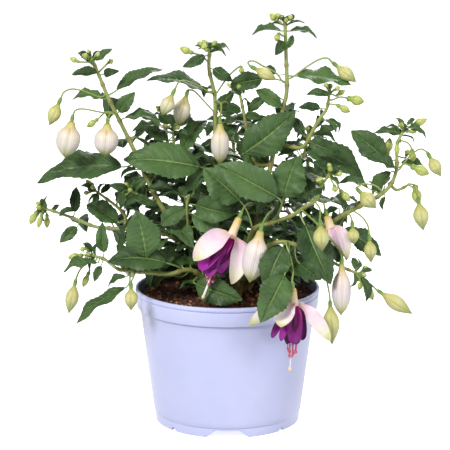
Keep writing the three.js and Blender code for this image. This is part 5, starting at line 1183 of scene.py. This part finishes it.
# The open blooms
def bloom_of(bloom):
    """A bloom's places in millimetres: stalk top, tube mouth, skirt end, sepal tips and style end."""
    axes = bloom.get("axes")
    if axes:
        top, mouth, skirt = (np.array(bloom[k], float) for k in ("top", "mouth", "skirt"))
        sepals = [(np.array(row[:3], float), *row[3:]) for row in bloom["sepals"]]
        style = np.array(bloom["style"], float) if bloom["style"] else None
        loose = []
    else:
        top, mouth = (at([*bloom[k], bloom["depth"]]) for k in ("top", "mouth"))
        skirt = at([*bloom["skirt"], bloom["skirtDepth"]])
        sepals = [(at([a, b, d]), c * PIXEL, *rest) for a, b, c, d, *rest in bloom["sepals"]]
        loose = [(at([a, b, d]), c * PIXEL, *rest) for a, b, c, d, *rest in bloom.get("loose", [])]
        style = at([*bloom["style"], bloom["styleDepth"]]) if bloom["style"] else None
    return {"blush": [0.35] * 4, **bloom, "top": top, "mouth": mouth, "skirt": skirt, "sepals": sepals,
            "loose": loose, "style": style, "axis": unit(skirt - mouth)}


def bloom_stalk_of(bloom, lines):
    """The stalk of a bloom, from its stem to the top of its ovary."""
    form = bloom_of(bloom)
    axes = bloom.get("axes")
    behind = 0 if axes else nearest(lines, bloom["stalk"][0])[1]
    count = len(bloom["stalk"])
    places = [np.array(p, float) if axes else at([*p, mix(behind, bloom["depth"], (k + 1) / (count + 1))])
              for k, p in enumerate(bloom["stalk"])]
    start = nearest(lines, places[0])
    return {"name": bloom["name"], "points": [start, *places, form["top"]], "tip": form["mouth"]}


def breadth(t, finish):
    """A sepal's width as a share of its widest: (0.42 + 0.53 sin(pi/2 min(1, 2t))) (1 - (2t - 1)^a)^b,
    with the last bracket only where t is over a half. A sepal's tip is pointed (a 2.6, b 0.75) and a
    petal's is round (a 5, b 0.5)."""
    belly = np.sin(np.pi / 2 * np.minimum(1, 2 * t))
    a, b = (2.6, 0.75) if finish == "sepal" else (5, 0.5)
    return 0.02 + (0.42 + 0.53 * belly) * (1 - np.maximum(0, 2 * t - 1) ** a * 0.998) ** b


def sepal_skin(form, tip, width, bulge, drop, tone, rng, finish="sepal"):
    """A sepal or a loose petal: a band along the curve of the second degree from the mouth, past an
    elbow, to its tip. It is as wide as breadth gives, cupped across as s^2, with s from -1 to 1, creased
    along its middle, and turned to the front the further it hangs."""
    mouth, axis = form["mouth"], form["axis"]
    out = square(tip - mouth, axis)
    if finish == "petal":
        root = mouth + axis * SKIRT["gap"] + out * SKIRT["hole"]
    else:
        root = mouth - axis * CALYX["sink"] + out * CALYX["flare"] * 0.75
    elbow = mouth + axis * drop + out * bulge
    t = np.sin(np.pi / 2 * np.linspace(0, 1, 36))[:, None]
    s = np.linspace(-1, 1, 15)[None, :]
    middle = root * (1 - t) ** 2 + elbow * 2 * t * (1 - t) + tip * t * t
    slope = unit((elbow - root) * (1 - t) + (tip - elbow) * t)
    around = np.cross(axis, out)
    flat = np.cross(FORWARD, square(tip - mouth, FORWARD))
    flat = flat if flat @ around >= 0 else -flat
    side = square(mix(around, flat, form["twist"] * np.minimum(1, 2.4 * t)), slope)
    face = np.cross(side, slope)
    wide = width * breadth(t, finish) / 2
    phase = rng.uniform(0, 2 * np.pi)
    rise = (CALYX["cup"] * 3 * wide * s * s - 0.3 * np.exp(-(s / 0.14) ** 2) * (1 - t)
            + 0.03 * width * np.sin(7 * t + phase) * s * smooth(0.2, 0.7, t)
            + 0.08 * width * smooth(0.8, 1, t) ** 2)
    points = middle[:, None] + side[:, None] * (s * wide)[..., None] + face[:, None] * rise[..., None]
    half = 0.36 * np.sqrt(1 - 0.97 * s * s) * mix(1.3, 0.7, t)
    return leafy(points, half, finish, finish, t, s, tone)


def calyx_skins(form, rng):
    """Tube and sepals: the tube flares smoothly to the mouth, with eight soft ridges."""
    top, mouth = form["top"], form["mouth"]
    start = top + unit(mouth - top) * (OVARY["length"] + OVARY["gap"] - 0.2)
    profile = [[1.2, 0], [2.0, 0.03], [2.55, 0.12], [2.85, 0.35], [3.05, 0.62], [3.5, 0.86], [3.95, 1.0],
               [2.6, 1.04]]
    skins = [turned_skin(start, mouth, profile, 26, 40, "tube_skin", 0.5, 8, 0.05)]
    return skins + [sepal_skin(form, *sepal, tone, rng)
                    for sepal, tone in zip(form["sepals"], form["blush"])]


def petal_skin(form, turn, half, spread, reach, rng, ruffle=1.0):
    """A petal of the skirt, hung from a ring under the mouth: at the share t of its length its radius is
    c + (open - c) sin(pi/2 min(1, 1.7 t)), its edges lie outside its middle on one side and inside it on
    the other, so that the petals wrap round, and its hem is rounded and ruffled by waves across it."""
    mouth, axis = form["mouth"], form["axis"]
    first, second = crossways(axis)
    length = np.linalg.norm(form["skirt"] - mouth)
    collar = SKIRT["hole"] + SKIRT["wall"] / 2
    wide = form.get("shown_open", form["open"]) * spread
    t = np.linspace(0, 1, 26)[:, None]
    s = np.linspace(-1, 1, 21)[None, :]
    angle = turn + s * half * smooth(-0.5, 0.6, t)
    phase = rng.uniform(0, 2 * np.pi, 2)
    flute = (0.9 * np.sin(7 * s + phase[0]) + 0.55 * np.sin(13 * s + phase[1])) * t**2.2 * ruffle
    radius = (collar + (wide - collar) * np.sin(np.pi / 2 * np.minimum(1, SKIRT["belly"] * t))
              + s * 0.9 * smooth(0, 0.5, t) + flute - 1.6 * t**4 * rng.uniform(0, 1))
    hem = 1 - SKIRT["scallop"] * 1.3 * s * s - 0.035 * np.sin(9 * s + phase[1]) * s
    drop = SKIRT["gap"] + SKIRT["sink"] + (length * reach - SKIRT["gap"]) * t * hem
    out = first * np.cos(angle)[..., None] + second * np.sin(angle)[..., None]
    points = mouth + axis * drop[..., None] + out * radius[..., None]
    half_thick = 0.22 * np.sqrt(1 - 0.97 * s * s) * mix(1.2, 0.55, t)
    return leafy(points, half_thick, "petal", "petal", t, s, rng.uniform(0, 0.2))


def skirt_skins(form, rng):
    """The corolla: a ring under the mouth, the outer and inner rounds of petals, and the small folded
    petals that fill them."""
    places = form["mouth"] + form["axis"] * np.array([1.2, 1.8, 2.6, 3.4])[:, None]
    skins = [tube(places, [1.0, 1.7, 2.1, 1.8], 20, "petal")]
    for round_ in SKIRT["rounds"][:form["rounds"]]:
        for k in range(round_["count"]):
            turn = 2 * np.pi * (k + round_["turn"]) / round_["count"]
            skins.append(petal_skin(form, turn, round_["half"] * 1.08, round_["spread"], round_["reach"],
                                    rng))
    for *place, tone in form["loose"]:
        skins.append(sepal_skin(form, *place, tone, rng, "petal"))
    for k in range(6 if form["rounds"] == 2 else 3):
        turn = 2 * np.pi * k / 6 + rng.uniform(-0.3, 0.3)
        skins.append(petal_skin(form, turn, 0.7, rng.uniform(0.25, 0.75), rng.uniform(0.6, 0.86), rng, 1.3))
    return skins


STAMENS = {"count": 7, "thread": 0.34, "spread": 2.8, "past": 4.5, "step": 2.2, "anther_length": 2.6,
           "stigma_length": 3.2, "style_radius": 0.36}


def stamen_skins(form, rng):
    """Stamens and style: a column, threads that bow out a little and hang to their anthers, and the
    longer style that ends in its stigma."""
    mouth, axis, style = form["mouth"], form["axis"], form["style"]
    first, second = crossways(axis)
    fall = unit(axis - UP * 0.9)
    length = np.linalg.norm(form["skirt"] - mouth)
    skins = [tube(mouth + axis * np.linspace(0.8, 5, 5)[:, None], [0.8, 1.2, 1.2, 1.1, 0.6], 12, "thread")]
    for k in range(STAMENS["count"]):
        angle = 2 * np.pi * (k + 0.5) / STAMENS["count"] + rng.uniform(-0.2, 0.2)
        out = first * math.cos(angle) + second * math.sin(angle)
        away = STAMENS["spread"] * rng.uniform(0.6, 1.25)
        past = STAMENS["past"] + STAMENS["step"] * (k % 3) + rng.uniform(-1, 1)
        foot = mouth + axis * length * 0.85 + fall * (length * 0.15 + past) + out * away
        curve = Line([mouth + axis * 3.5 + out * 0.5, mouth + axis * length * 0.6 + out * away * 0.9, foot])
        skins.append(tube(curve.along(np.linspace(0, 1, 16)), STAMENS["thread"], 6, "thread"))
        hang = unit(fall + out * rng.uniform(-0.6, 0.6))
        profile = [[0.35, 0], [0.9, 0.2], [1.1, 0.5], [0.8, 0.85], [0.15, 1]]
        skins.append(turned_skin(foot - hang * 0.3, foot + hang * STAMENS["anther_length"], profile, 9, 8,
                                 "anther"))
    waist = mouth + axis * length * 0.6
    curve = Line([mouth + axis * 3.5, waist, style])
    thick = form.get("style_radius", STAMENS["style_radius"])
    u = np.linspace(0, 1, 24)
    skins.append(tube(curve.along(u), np.interp(u, [0, 0.5, 1], [0.4, thick * 0.85, thick]), 10, "style"))
    hang = unit(style - waist)
    profile = [[thick, 0], [1.2, 0.25], [1.3, 0.55], [0.95, 0.85], [0.2, 1]]
    skins.append(turned_skin(style - hang * 0.4, style + hang * STAMENS["stigma_length"], profile, 12, 14,
                             "stigma", 0.5, 4, 0.16))
    return skins


# The pot and its peat: the radius above the foot ring, and the height at which the rim band starts
FOOT = POT["foot"] + POT["foot_overhang"]
BAND = POT["height"] - POT["band"]


def wall_at(z):
    """The radius of the pot's wall at a height: it widens evenly from the foot to the band."""
    slope = (POT["rim"] - POT["band_overhang"] - FOOT) / (BAND - POT["foot_step"])
    return FOOT + slope * (z - POT["foot_step"])


def pot_object():
    """The pot: its profile carried round in circles, from the middle of the floor's underside, down the
    foot ring, up the wall, over the rim and down inside to the floor. The foot ring's bottom rises into
    its recesses: with x the place along the ring from a recess's middle, it stands at the height of the
    recess for |x| under its top half width and falls evenly to the ground at its bottom half width."""
    foot, floor, top, rim, wall = (POT[k] for k in ("foot", "floor", "height", "rim", "wall"))
    ring, inner_floor, shoulder = foot - POT["ring_wall"], floor + POT["floor_thickness"], wall_at(BAND)
    # radius, height, and how much of the recess's rise the place takes up
    profile = [[3, floor, 0], [26, floor, 0], [42, floor, 0], [ring - 1, floor, 0],
               [ring - 0.4, floor - 0.25, 0], [ring, floor - 0.3, 0.93], [ring, 0.9, 0.98],
               [ring + 0.15, 0.25, 1], [ring + 0.6, 0, 1], [foot - 0.7, 0, 1], [foot - 0.15, 0.3, 1],
               [foot, 0.9, 0.97], [foot + 0.3, 5, 0.93], [foot + 0.4, 7.2, 0.2], [FOOT - 0.35, 7.55, 0],
               [FOOT, 8.2, 0], [wall_at(12), 12, 0]]
    profile += [[wall_at(z), z, 0] for z in np.linspace(18, BAND - 6, 12)]
    profile += [[shoulder - 0.05, BAND - 0.9, 0], [shoulder + 0.25, BAND - 0.2, 0],
                [rim - 2.2, BAND + 0.15, 0], [rim - 1.35, BAND + 0.6, 0], [rim - 1.05, BAND + 1.6, 0],
                [rim - 0.75, BAND + 5, 0], [rim - 0.45, top - 5.4, 0], [rim - 0.5, top - 4.7, 0],
                [rim - 1.05, top - 4.35, 0], [rim - 1.1, top - 3.8, 0], [rim - 0.35, top - 3.35, 0],
                [rim, top - 2.7, 0], [rim, top - 1.3, 0], [rim - 0.35, top - 0.4, 0], [rim - 1.1, top, 0],
                [rim - 1.9, top - 0.1, 0], [rim - 2.5, top - 0.7, 0], [rim - 2.9, top - 3, 0],
                [shoulder - wall + 0.3, BAND + 1, 0], [shoulder - wall, BAND - 2, 0]]
    profile += [[wall_at(z) - wall, z, 0] for z in np.linspace(BAND - 12, 16, 6)]
    profile += [[wall_at(10) - wall - 0.4, inner_floor + 1.2, 0], [wall_at(8) - wall - 2, inner_floor, 0],
                [30, inner_floor, 0], [3, inner_floor, 0]]
    radius, height, rise = np.array(profile).T[:, :, None]
    corners = [math.radians(turn - 90) + side * math.asin((half + soft) / foot)
               for low, high, _, turns in RECESSES for turn in turns for half in (low, high)
               for side in (-1, 1) for soft in (-0.35, 0, 0.35)]
    angle = np.sort(np.concatenate([corners, np.linspace(0, 2 * np.pi, 120, endpoint=False)]) % (2 * np.pi))
    angle = angle[np.concatenate([np.diff(angle) > 1e-3, [True]])][None, :]
    lift = np.zeros_like(angle)
    for low, high, deep, turns in RECESSES:
        for turn in turns:
            off = (angle - math.radians(turn - 90) + np.pi) % (2 * np.pi) - np.pi
            along = np.where(np.abs(off) < 1, np.abs(foot * np.sin(off)), 99)
            lift = np.maximum(lift, deep * np.clip((low - along) / (low - high), 0, 1))
    z = np.where(rise > 0, np.maximum(height, mix(height, lift + height * 0.04, rise)), height)
    rings = np.stack([radius * np.cos(angle), radius * np.sin(angle), z + 0 * angle], -1)
    # the inner rows carry the mark by which the material paints the inner wall darker, as painted shade
    inside = (np.arange(len(profile)) >= len(profile) - 14)[:, None]
    shell = skin(rings, "polypropylene", mark=inside)
    made = piece("pot_shell", "pot", [shell], ["polypropylene"], 38)

    holes = bpy.data.meshes.new("drain_cutters")
    turn = 2 * np.pi * (np.arange(DRAIN["count"]) + 0.5) / DRAIN["count"]
    round_ = np.linspace(0, 2 * np.pi, 24, endpoint=False)
    x = DRAIN["ring"] * np.cos(turn)[:, None] + DRAIN["radius"] * np.cos(round_)
    y = DRAIN["ring"] * np.sin(turn)[:, None] + DRAIN["radius"] * np.sin(round_)
    ends = [np.stack([x, y, np.full_like(x, h)], -1) for h in (floor - 2, inner_floor + 2)]
    points = np.concatenate(ends, 1).reshape(-1, 3) * MM
    low = np.arange(24)
    after = (low + 1) % 24
    start = np.arange(DRAIN["count"])[:, None, None] * 48
    walls = np.stack([low, after, after + 24, low + 24], -1)[None] + start
    caps = np.stack([low[::-1], low + 24])[None] + start
    holes.from_pydata(points.tolist(), [], walls.reshape(-1, 4).tolist() + caps.reshape(-1, 24).tolist())
    cutter = bpy.data.objects.new("drain_cutters", holes)
    bpy.context.scene.collection.objects.link(cutter)
    cut = made.modifiers.new("drain", "BOOLEAN")
    cut.operation, cut.solver, cut.object = "DIFFERENCE", "EXACT", cutter
    done = bpy.data.meshes.new_from_object(made.evaluated_get(bpy.context.evaluated_depsgraph_get()))
    made.modifiers.clear()
    made.data = done
    bpy.data.objects.remove(cutter)
    return made


def soil_object():
    """The peat: a plug that fills the pot, whose top is domed as 1 - r^2 and roughened by a sum of five
    products of waves, each finer and lower than the last, and crumbs of peat and bark that lie on it:
    twelve-cornered grains with their own size, turn and press."""
    rng = np.random.default_rng(41)

    def inner(z):
        return wall_at(z) - POT["wall"] - SOIL["gap"]

    def surface(share):
        return SOIL["top"] + 0.5 + SOIL["dome"] * (1 - share**2) + 1.8 * share**8

    def rough(x, y):
        waves = [(0.09, 1.1, 0.9), (0.21, 0.8, 0.55), (0.47, 0.55, 0.33), (0.93, 0.4, 0.22),
                 (1.7, 0.25, 0.16)]
        return sum(size * np.sin(x * pitch + 3.1 * k)
                   * np.cos(y * pitch * 1.13 + 1.7 * k + x * pitch * tilt)
                   for k, (pitch, size, tilt) in enumerate(waves))

    angle = np.linspace(0, 2 * np.pi, 132, endpoint=False)[None, :]
    side = [[8, 9.0], [inner(9) - 1, 8.6], [inner(20), 20], [inner(55), 55], [inner(86), 86]]
    edge = inner(SOIL["top"] - 6) - 0.3
    radius = np.concatenate([[r for r, _ in side], edge * np.linspace(1, 0.02, 44)])[:, None]
    level = np.concatenate([[z for _, z in side], surface(np.linspace(1, 0.02, 44))])[:, None]
    x, y = radius * np.cos(angle), radius * np.sin(angle)
    top = (np.arange(len(radius)) >= len(side))[:, None]
    z = level + np.where(top, rough(x, y), 0)
    skins = [skin(np.stack([x, y, z + 0 * x], -1), "peat", tone=0.3)]

    golden = (1 + 5**0.5) / 2
    grain = unit(np.array([[0, 1, golden], [0, -1, golden], [0, 1, -golden], [0, -1, -golden],
                           [1, golden, 0], [-1, golden, 0], [1, -golden, 0], [-1, -golden, 0],
                           [golden, 0, 1], [golden, 0, -1], [-golden, 0, 1], [-golden, 0, -1]], float))
    gap = np.linalg.norm(grain[:, None] - grain[None], axis=-1)
    near = gap < 1.2
    faces = np.argwhere(near[:, :, None] & near[:, None, :] & near[None])
    faces = faces[(faces[:, 0] < faces[:, 1]) & (faces[:, 1] < faces[:, 2])]
    inward = np.linalg.det(grain[faces]) < 0
    faces[inward] = faces[inward, ::-1]
    count = SOIL["crumbs"]
    reach = (edge - 2) * np.sqrt(rng.uniform(0, 1, count))
    turn = rng.uniform(0, 2 * np.pi, count)
    x, y = reach * np.cos(turn), reach * np.sin(turn)
    size = rng.uniform(0.7, 1.6, count) * rng.choice([1, 1, 1, 1.7], count)
    z = surface(reach / edge) + rough(x, y) + size * 0.25
    scale = size[:, None] * rng.uniform(0.6, 1.25, (count, 3))
    spin = np.linalg.qr(rng.normal(size=(count, 3, 3)))[0]
    spin *= np.sign(np.linalg.det(spin))[:, None, None]
    bumpy = grain[None] * rng.uniform(0.75, 1.2, (count, 12, 1)) * scale[:, None]
    points = np.einsum("nij,nkj->nki", spin, bumpy) + np.stack([x, y, z], -1)[:, None]
    triangles = (faces[None] + np.arange(count)[:, None, None] * 12).reshape(-1, 3)
    kind = np.where(rng.uniform(0, 1, count) < 0.2, "bark", "peat")
    tone = np.repeat(rng.uniform(0, 1, count), 12)
    crumbs = {"points": points.reshape(-1, 3), "quads": np.empty((0, 4), int), "fans": triangles,
              "quad_finish": np.empty(0, "<U13"), "fan_finish": np.repeat(kind, len(faces)),
              "along": 0 * tone, "across": 0 * tone, "tone": tone, "mark": 0 * tone}
    return piece("peat_filling", "soil", [*skins, crumbs], ["peat", "bark"], 180)


# How ripe each large bud is: 0 is small and green, 1 is about to open
UNRIPE = 0.12
RIPE = {"bud_left_outer": 0.8, "bud_left_inner": 0.85, "bud_centre": 0.75, "bud_front_white": 1.0,
        "bud_right_white": 1.0, "bud_top_behind": 0.55, "bud_top_left": 0.45, "bud_centre_behind": 0.6,
        "bud_left_end": 0.1, "bud_back_left": 0.7, "bud_back_right": 0.4, "bud_back_low": 0.6}
LEAFY = ["leaf", "leaf_under", "leaf_rib", "shoot", "stalk", "ovary", "green_bud"]
# In millimetres: blades shorter than these are darker, and slimmer than the solids' outline, and only a
# longer line ends in young leaves and buds
DARK_BLADE, SLIM_BLADE, TIPPED_LINE = 22, 26, 25

pot_object()
plants = [(stem, stem_lines(stem)) for stem in STEMS + BACK_STEMS]
soil_object()

# The leaves that the solids have, and the buds and blooms, which the small inner leaves keep behind
leaves_of, shown = {}, []
for stem, lines in plants:
    corners = corners_of(stem["name"])
    found = [settled(viewed_leaf(lines, row), corners) for row in stem.get("leaves", [])]
    leaves_of[stem["name"]] = [leaf for leaf in found if leaf]
    shown += [samples(leaf) for leaf in leaves_of[stem["name"]]]
    hung = [] if stem.get("axes") else [stalk_of(stem, lines, row) for row in stem["stalks"]]
    shown += [mix(bud["points"][-1], bud["tip"], share)[None] for bud in hung
              for share in (0, 0.35, 0.7, 1)]
for bloom in BLOOMS[:3]:
    form = bloom_of(bloom)
    tips = [sepal[0] for sepal in form["sepals"]]
    shown.append(np.array([form["top"], form["mouth"], form["skirt"], *tips]))
for stem, lines in plants:
    corners = corners_of(stem["name"])
    found = [settled(ways, corners) for ways in paired_leaves(stem, lines[0])]
    leaves_of[stem["name"]] += [leaf for leaf in found if leaf]
taken = np.vstack([samples(leaf) for leaves in leaves_of.values() for leaf in leaves])
for order, (stem, lines) in enumerate(plants):
    rng = np.random.default_rng(700 + order)
    extra, taken = inner_leaves(lines, taken, np.vstack(shown), rng, stem.get("axes"))
    leaves_of[stem["name"]] += extra

for order, (stem, lines) in enumerate(plants):
    rng = np.random.default_rng(500 + order)
    skins = [stem_skin(line, rng.uniform(0.3, 0.7)) for line in lines]
    for row in stem["stalks"]:
        stalk = stalk_of(stem, lines, row)
        skins += stalk_skins(stalk, rng.uniform(0, 1))
        if stalk["name"]:
            piece(f"{stalk['name']}_skin", stalk["name"],
                  bud_skins(stalk, RIPE.get(stalk["name"], UNRIPE)), ["bud_skin"], 60)
    for bloom in BLOOMS:
        if bloom["stem"] == stem["name"]:
            skins += stalk_skins(bloom_stalk_of(bloom, lines), rng.uniform(0, 1))
    for leaf in leaves_of[stem["name"]]:
        length = np.linalg.norm(leaf["tip"] - leaf["base"])
        tone = np.clip(0.42 - 0.25 * (length < DARK_BLADE) + rng.uniform(-0.26, 0.26), 0.02, 0.98)
        slim = {**leaf, "width": leaf["width"] * (0.8 if length < SLIM_BLADE else 1)}
        skins += leaf_skins(slim, rng, tone)
    for line in lines:
        if line["curve"].length > TIPPED_LINE and not line["bare"]:
            skins += shoot_tip(line, rng)
    piece(f"{stem['name']}_growth", stem["name"], skins, LEAFY)

for order, bloom in enumerate(BLOOMS):
    rng = np.random.default_rng(900 + order)
    form, name = bloom_of(bloom), bloom["name"]
    piece(f"{name}_tube_and_sepals", f"{name}_calyx", calyx_skins(form, rng),
          ["tube_skin", "sepal"])
    piece(f"{name}_petals", f"{name}_skirt", skirt_skins(form, rng), ["petal"])
    if form["style"] is not None:
        piece(f"{name}_threads", f"{name}_stamens", stamen_skins(form, rng),
              ["thread", "anther", "style", "stigma"])


# A plain white floor, soft light from the upper left and right, and the photograph's camera
scene = bpy.context.scene
floor = bpy.data.meshes.new("floor")
floor.from_pydata([(-6, -6, 0), (6, -6, 0), (6, 6, 0), (-6, 6, 0)], [], [(0, 1, 2, 3)])
white = bpy.data.materials.new("white_floor")
white.use_nodes = True
for name, value in {"Base Color": (1, 1, 1, 1), "Roughness": 0.9, "Emission Color": (1, 1, 1, 1),
                    "Emission Strength": 0.62}.items():
    white.node_tree.nodes["Principled BSDF"].inputs[name].default_value = value
floor.materials.append(white)
ground = bpy.data.objects.new("floor", floor)
# the floor is seen but throws no light up, so the pot's foot keeps its shadows
ground.visible_diffuse = False
scene.collection.objects.link(ground)

world = bpy.data.worlds.new("studio")
world.use_nodes = True
room = world.node_tree.nodes["Background"]
# the camera sees plain white, and the part gets less light than that from the room
room.inputs["Strength"].default_value = 0.42
sight = add(world.node_tree, "Background", 0, {"Color": (1, 1, 1, 1), "Strength": 1.0})
ray = add(world.node_tree, "LightPath", "Is Camera Ray")
both = add(world.node_tree, "MixShader", 0, {0: ray, 1: room.outputs[0], 2: sight})
room.inputs["Color"].default_value = (1, 1, 1, 1)
world.node_tree.links.new(both, world.node_tree.nodes["World Output"].inputs["Surface"])
scene.world = world
# Round lamps that face the middle of the plant: name, place and width in metres, and watts
for name, place, size, power in [("key", (-0.9, -1.5, 1.4), 0.6, 41), ("fill", (1.4, -1.1, 0.7), 0.8, 13),
                                 ("back", (0.3, 1.5, 1.2), 0.8, 16)]:
    lamp = bpy.data.lights.new(name, "AREA")
    lamp.shape, lamp.size, lamp.energy = "DISK", size, power
    holder = bpy.data.objects.new(name, lamp)
    holder.location = place
    holder.rotation_euler = (Vector((0, 0, 0.16)) - Vector(place)).to_track_quat("-Z", "Y").to_euler()
    scene.collection.objects.link(holder)

lens = bpy.data.cameras.new("view")
lens.sensor_width = 36
lens.lens = lens.sensor_width * VIEW["focal"] / (2 * VIEW["centre"])
camera = bpy.data.objects.new("view", lens)
camera.location = EYE * MM
camera.rotation_euler = (math.pi / 2 - SLOPE, 0, 0)
scene.collection.objects.link(camera)
bpy.context.scene.camera = camera
scene.view_settings.view_transform = "Standard"
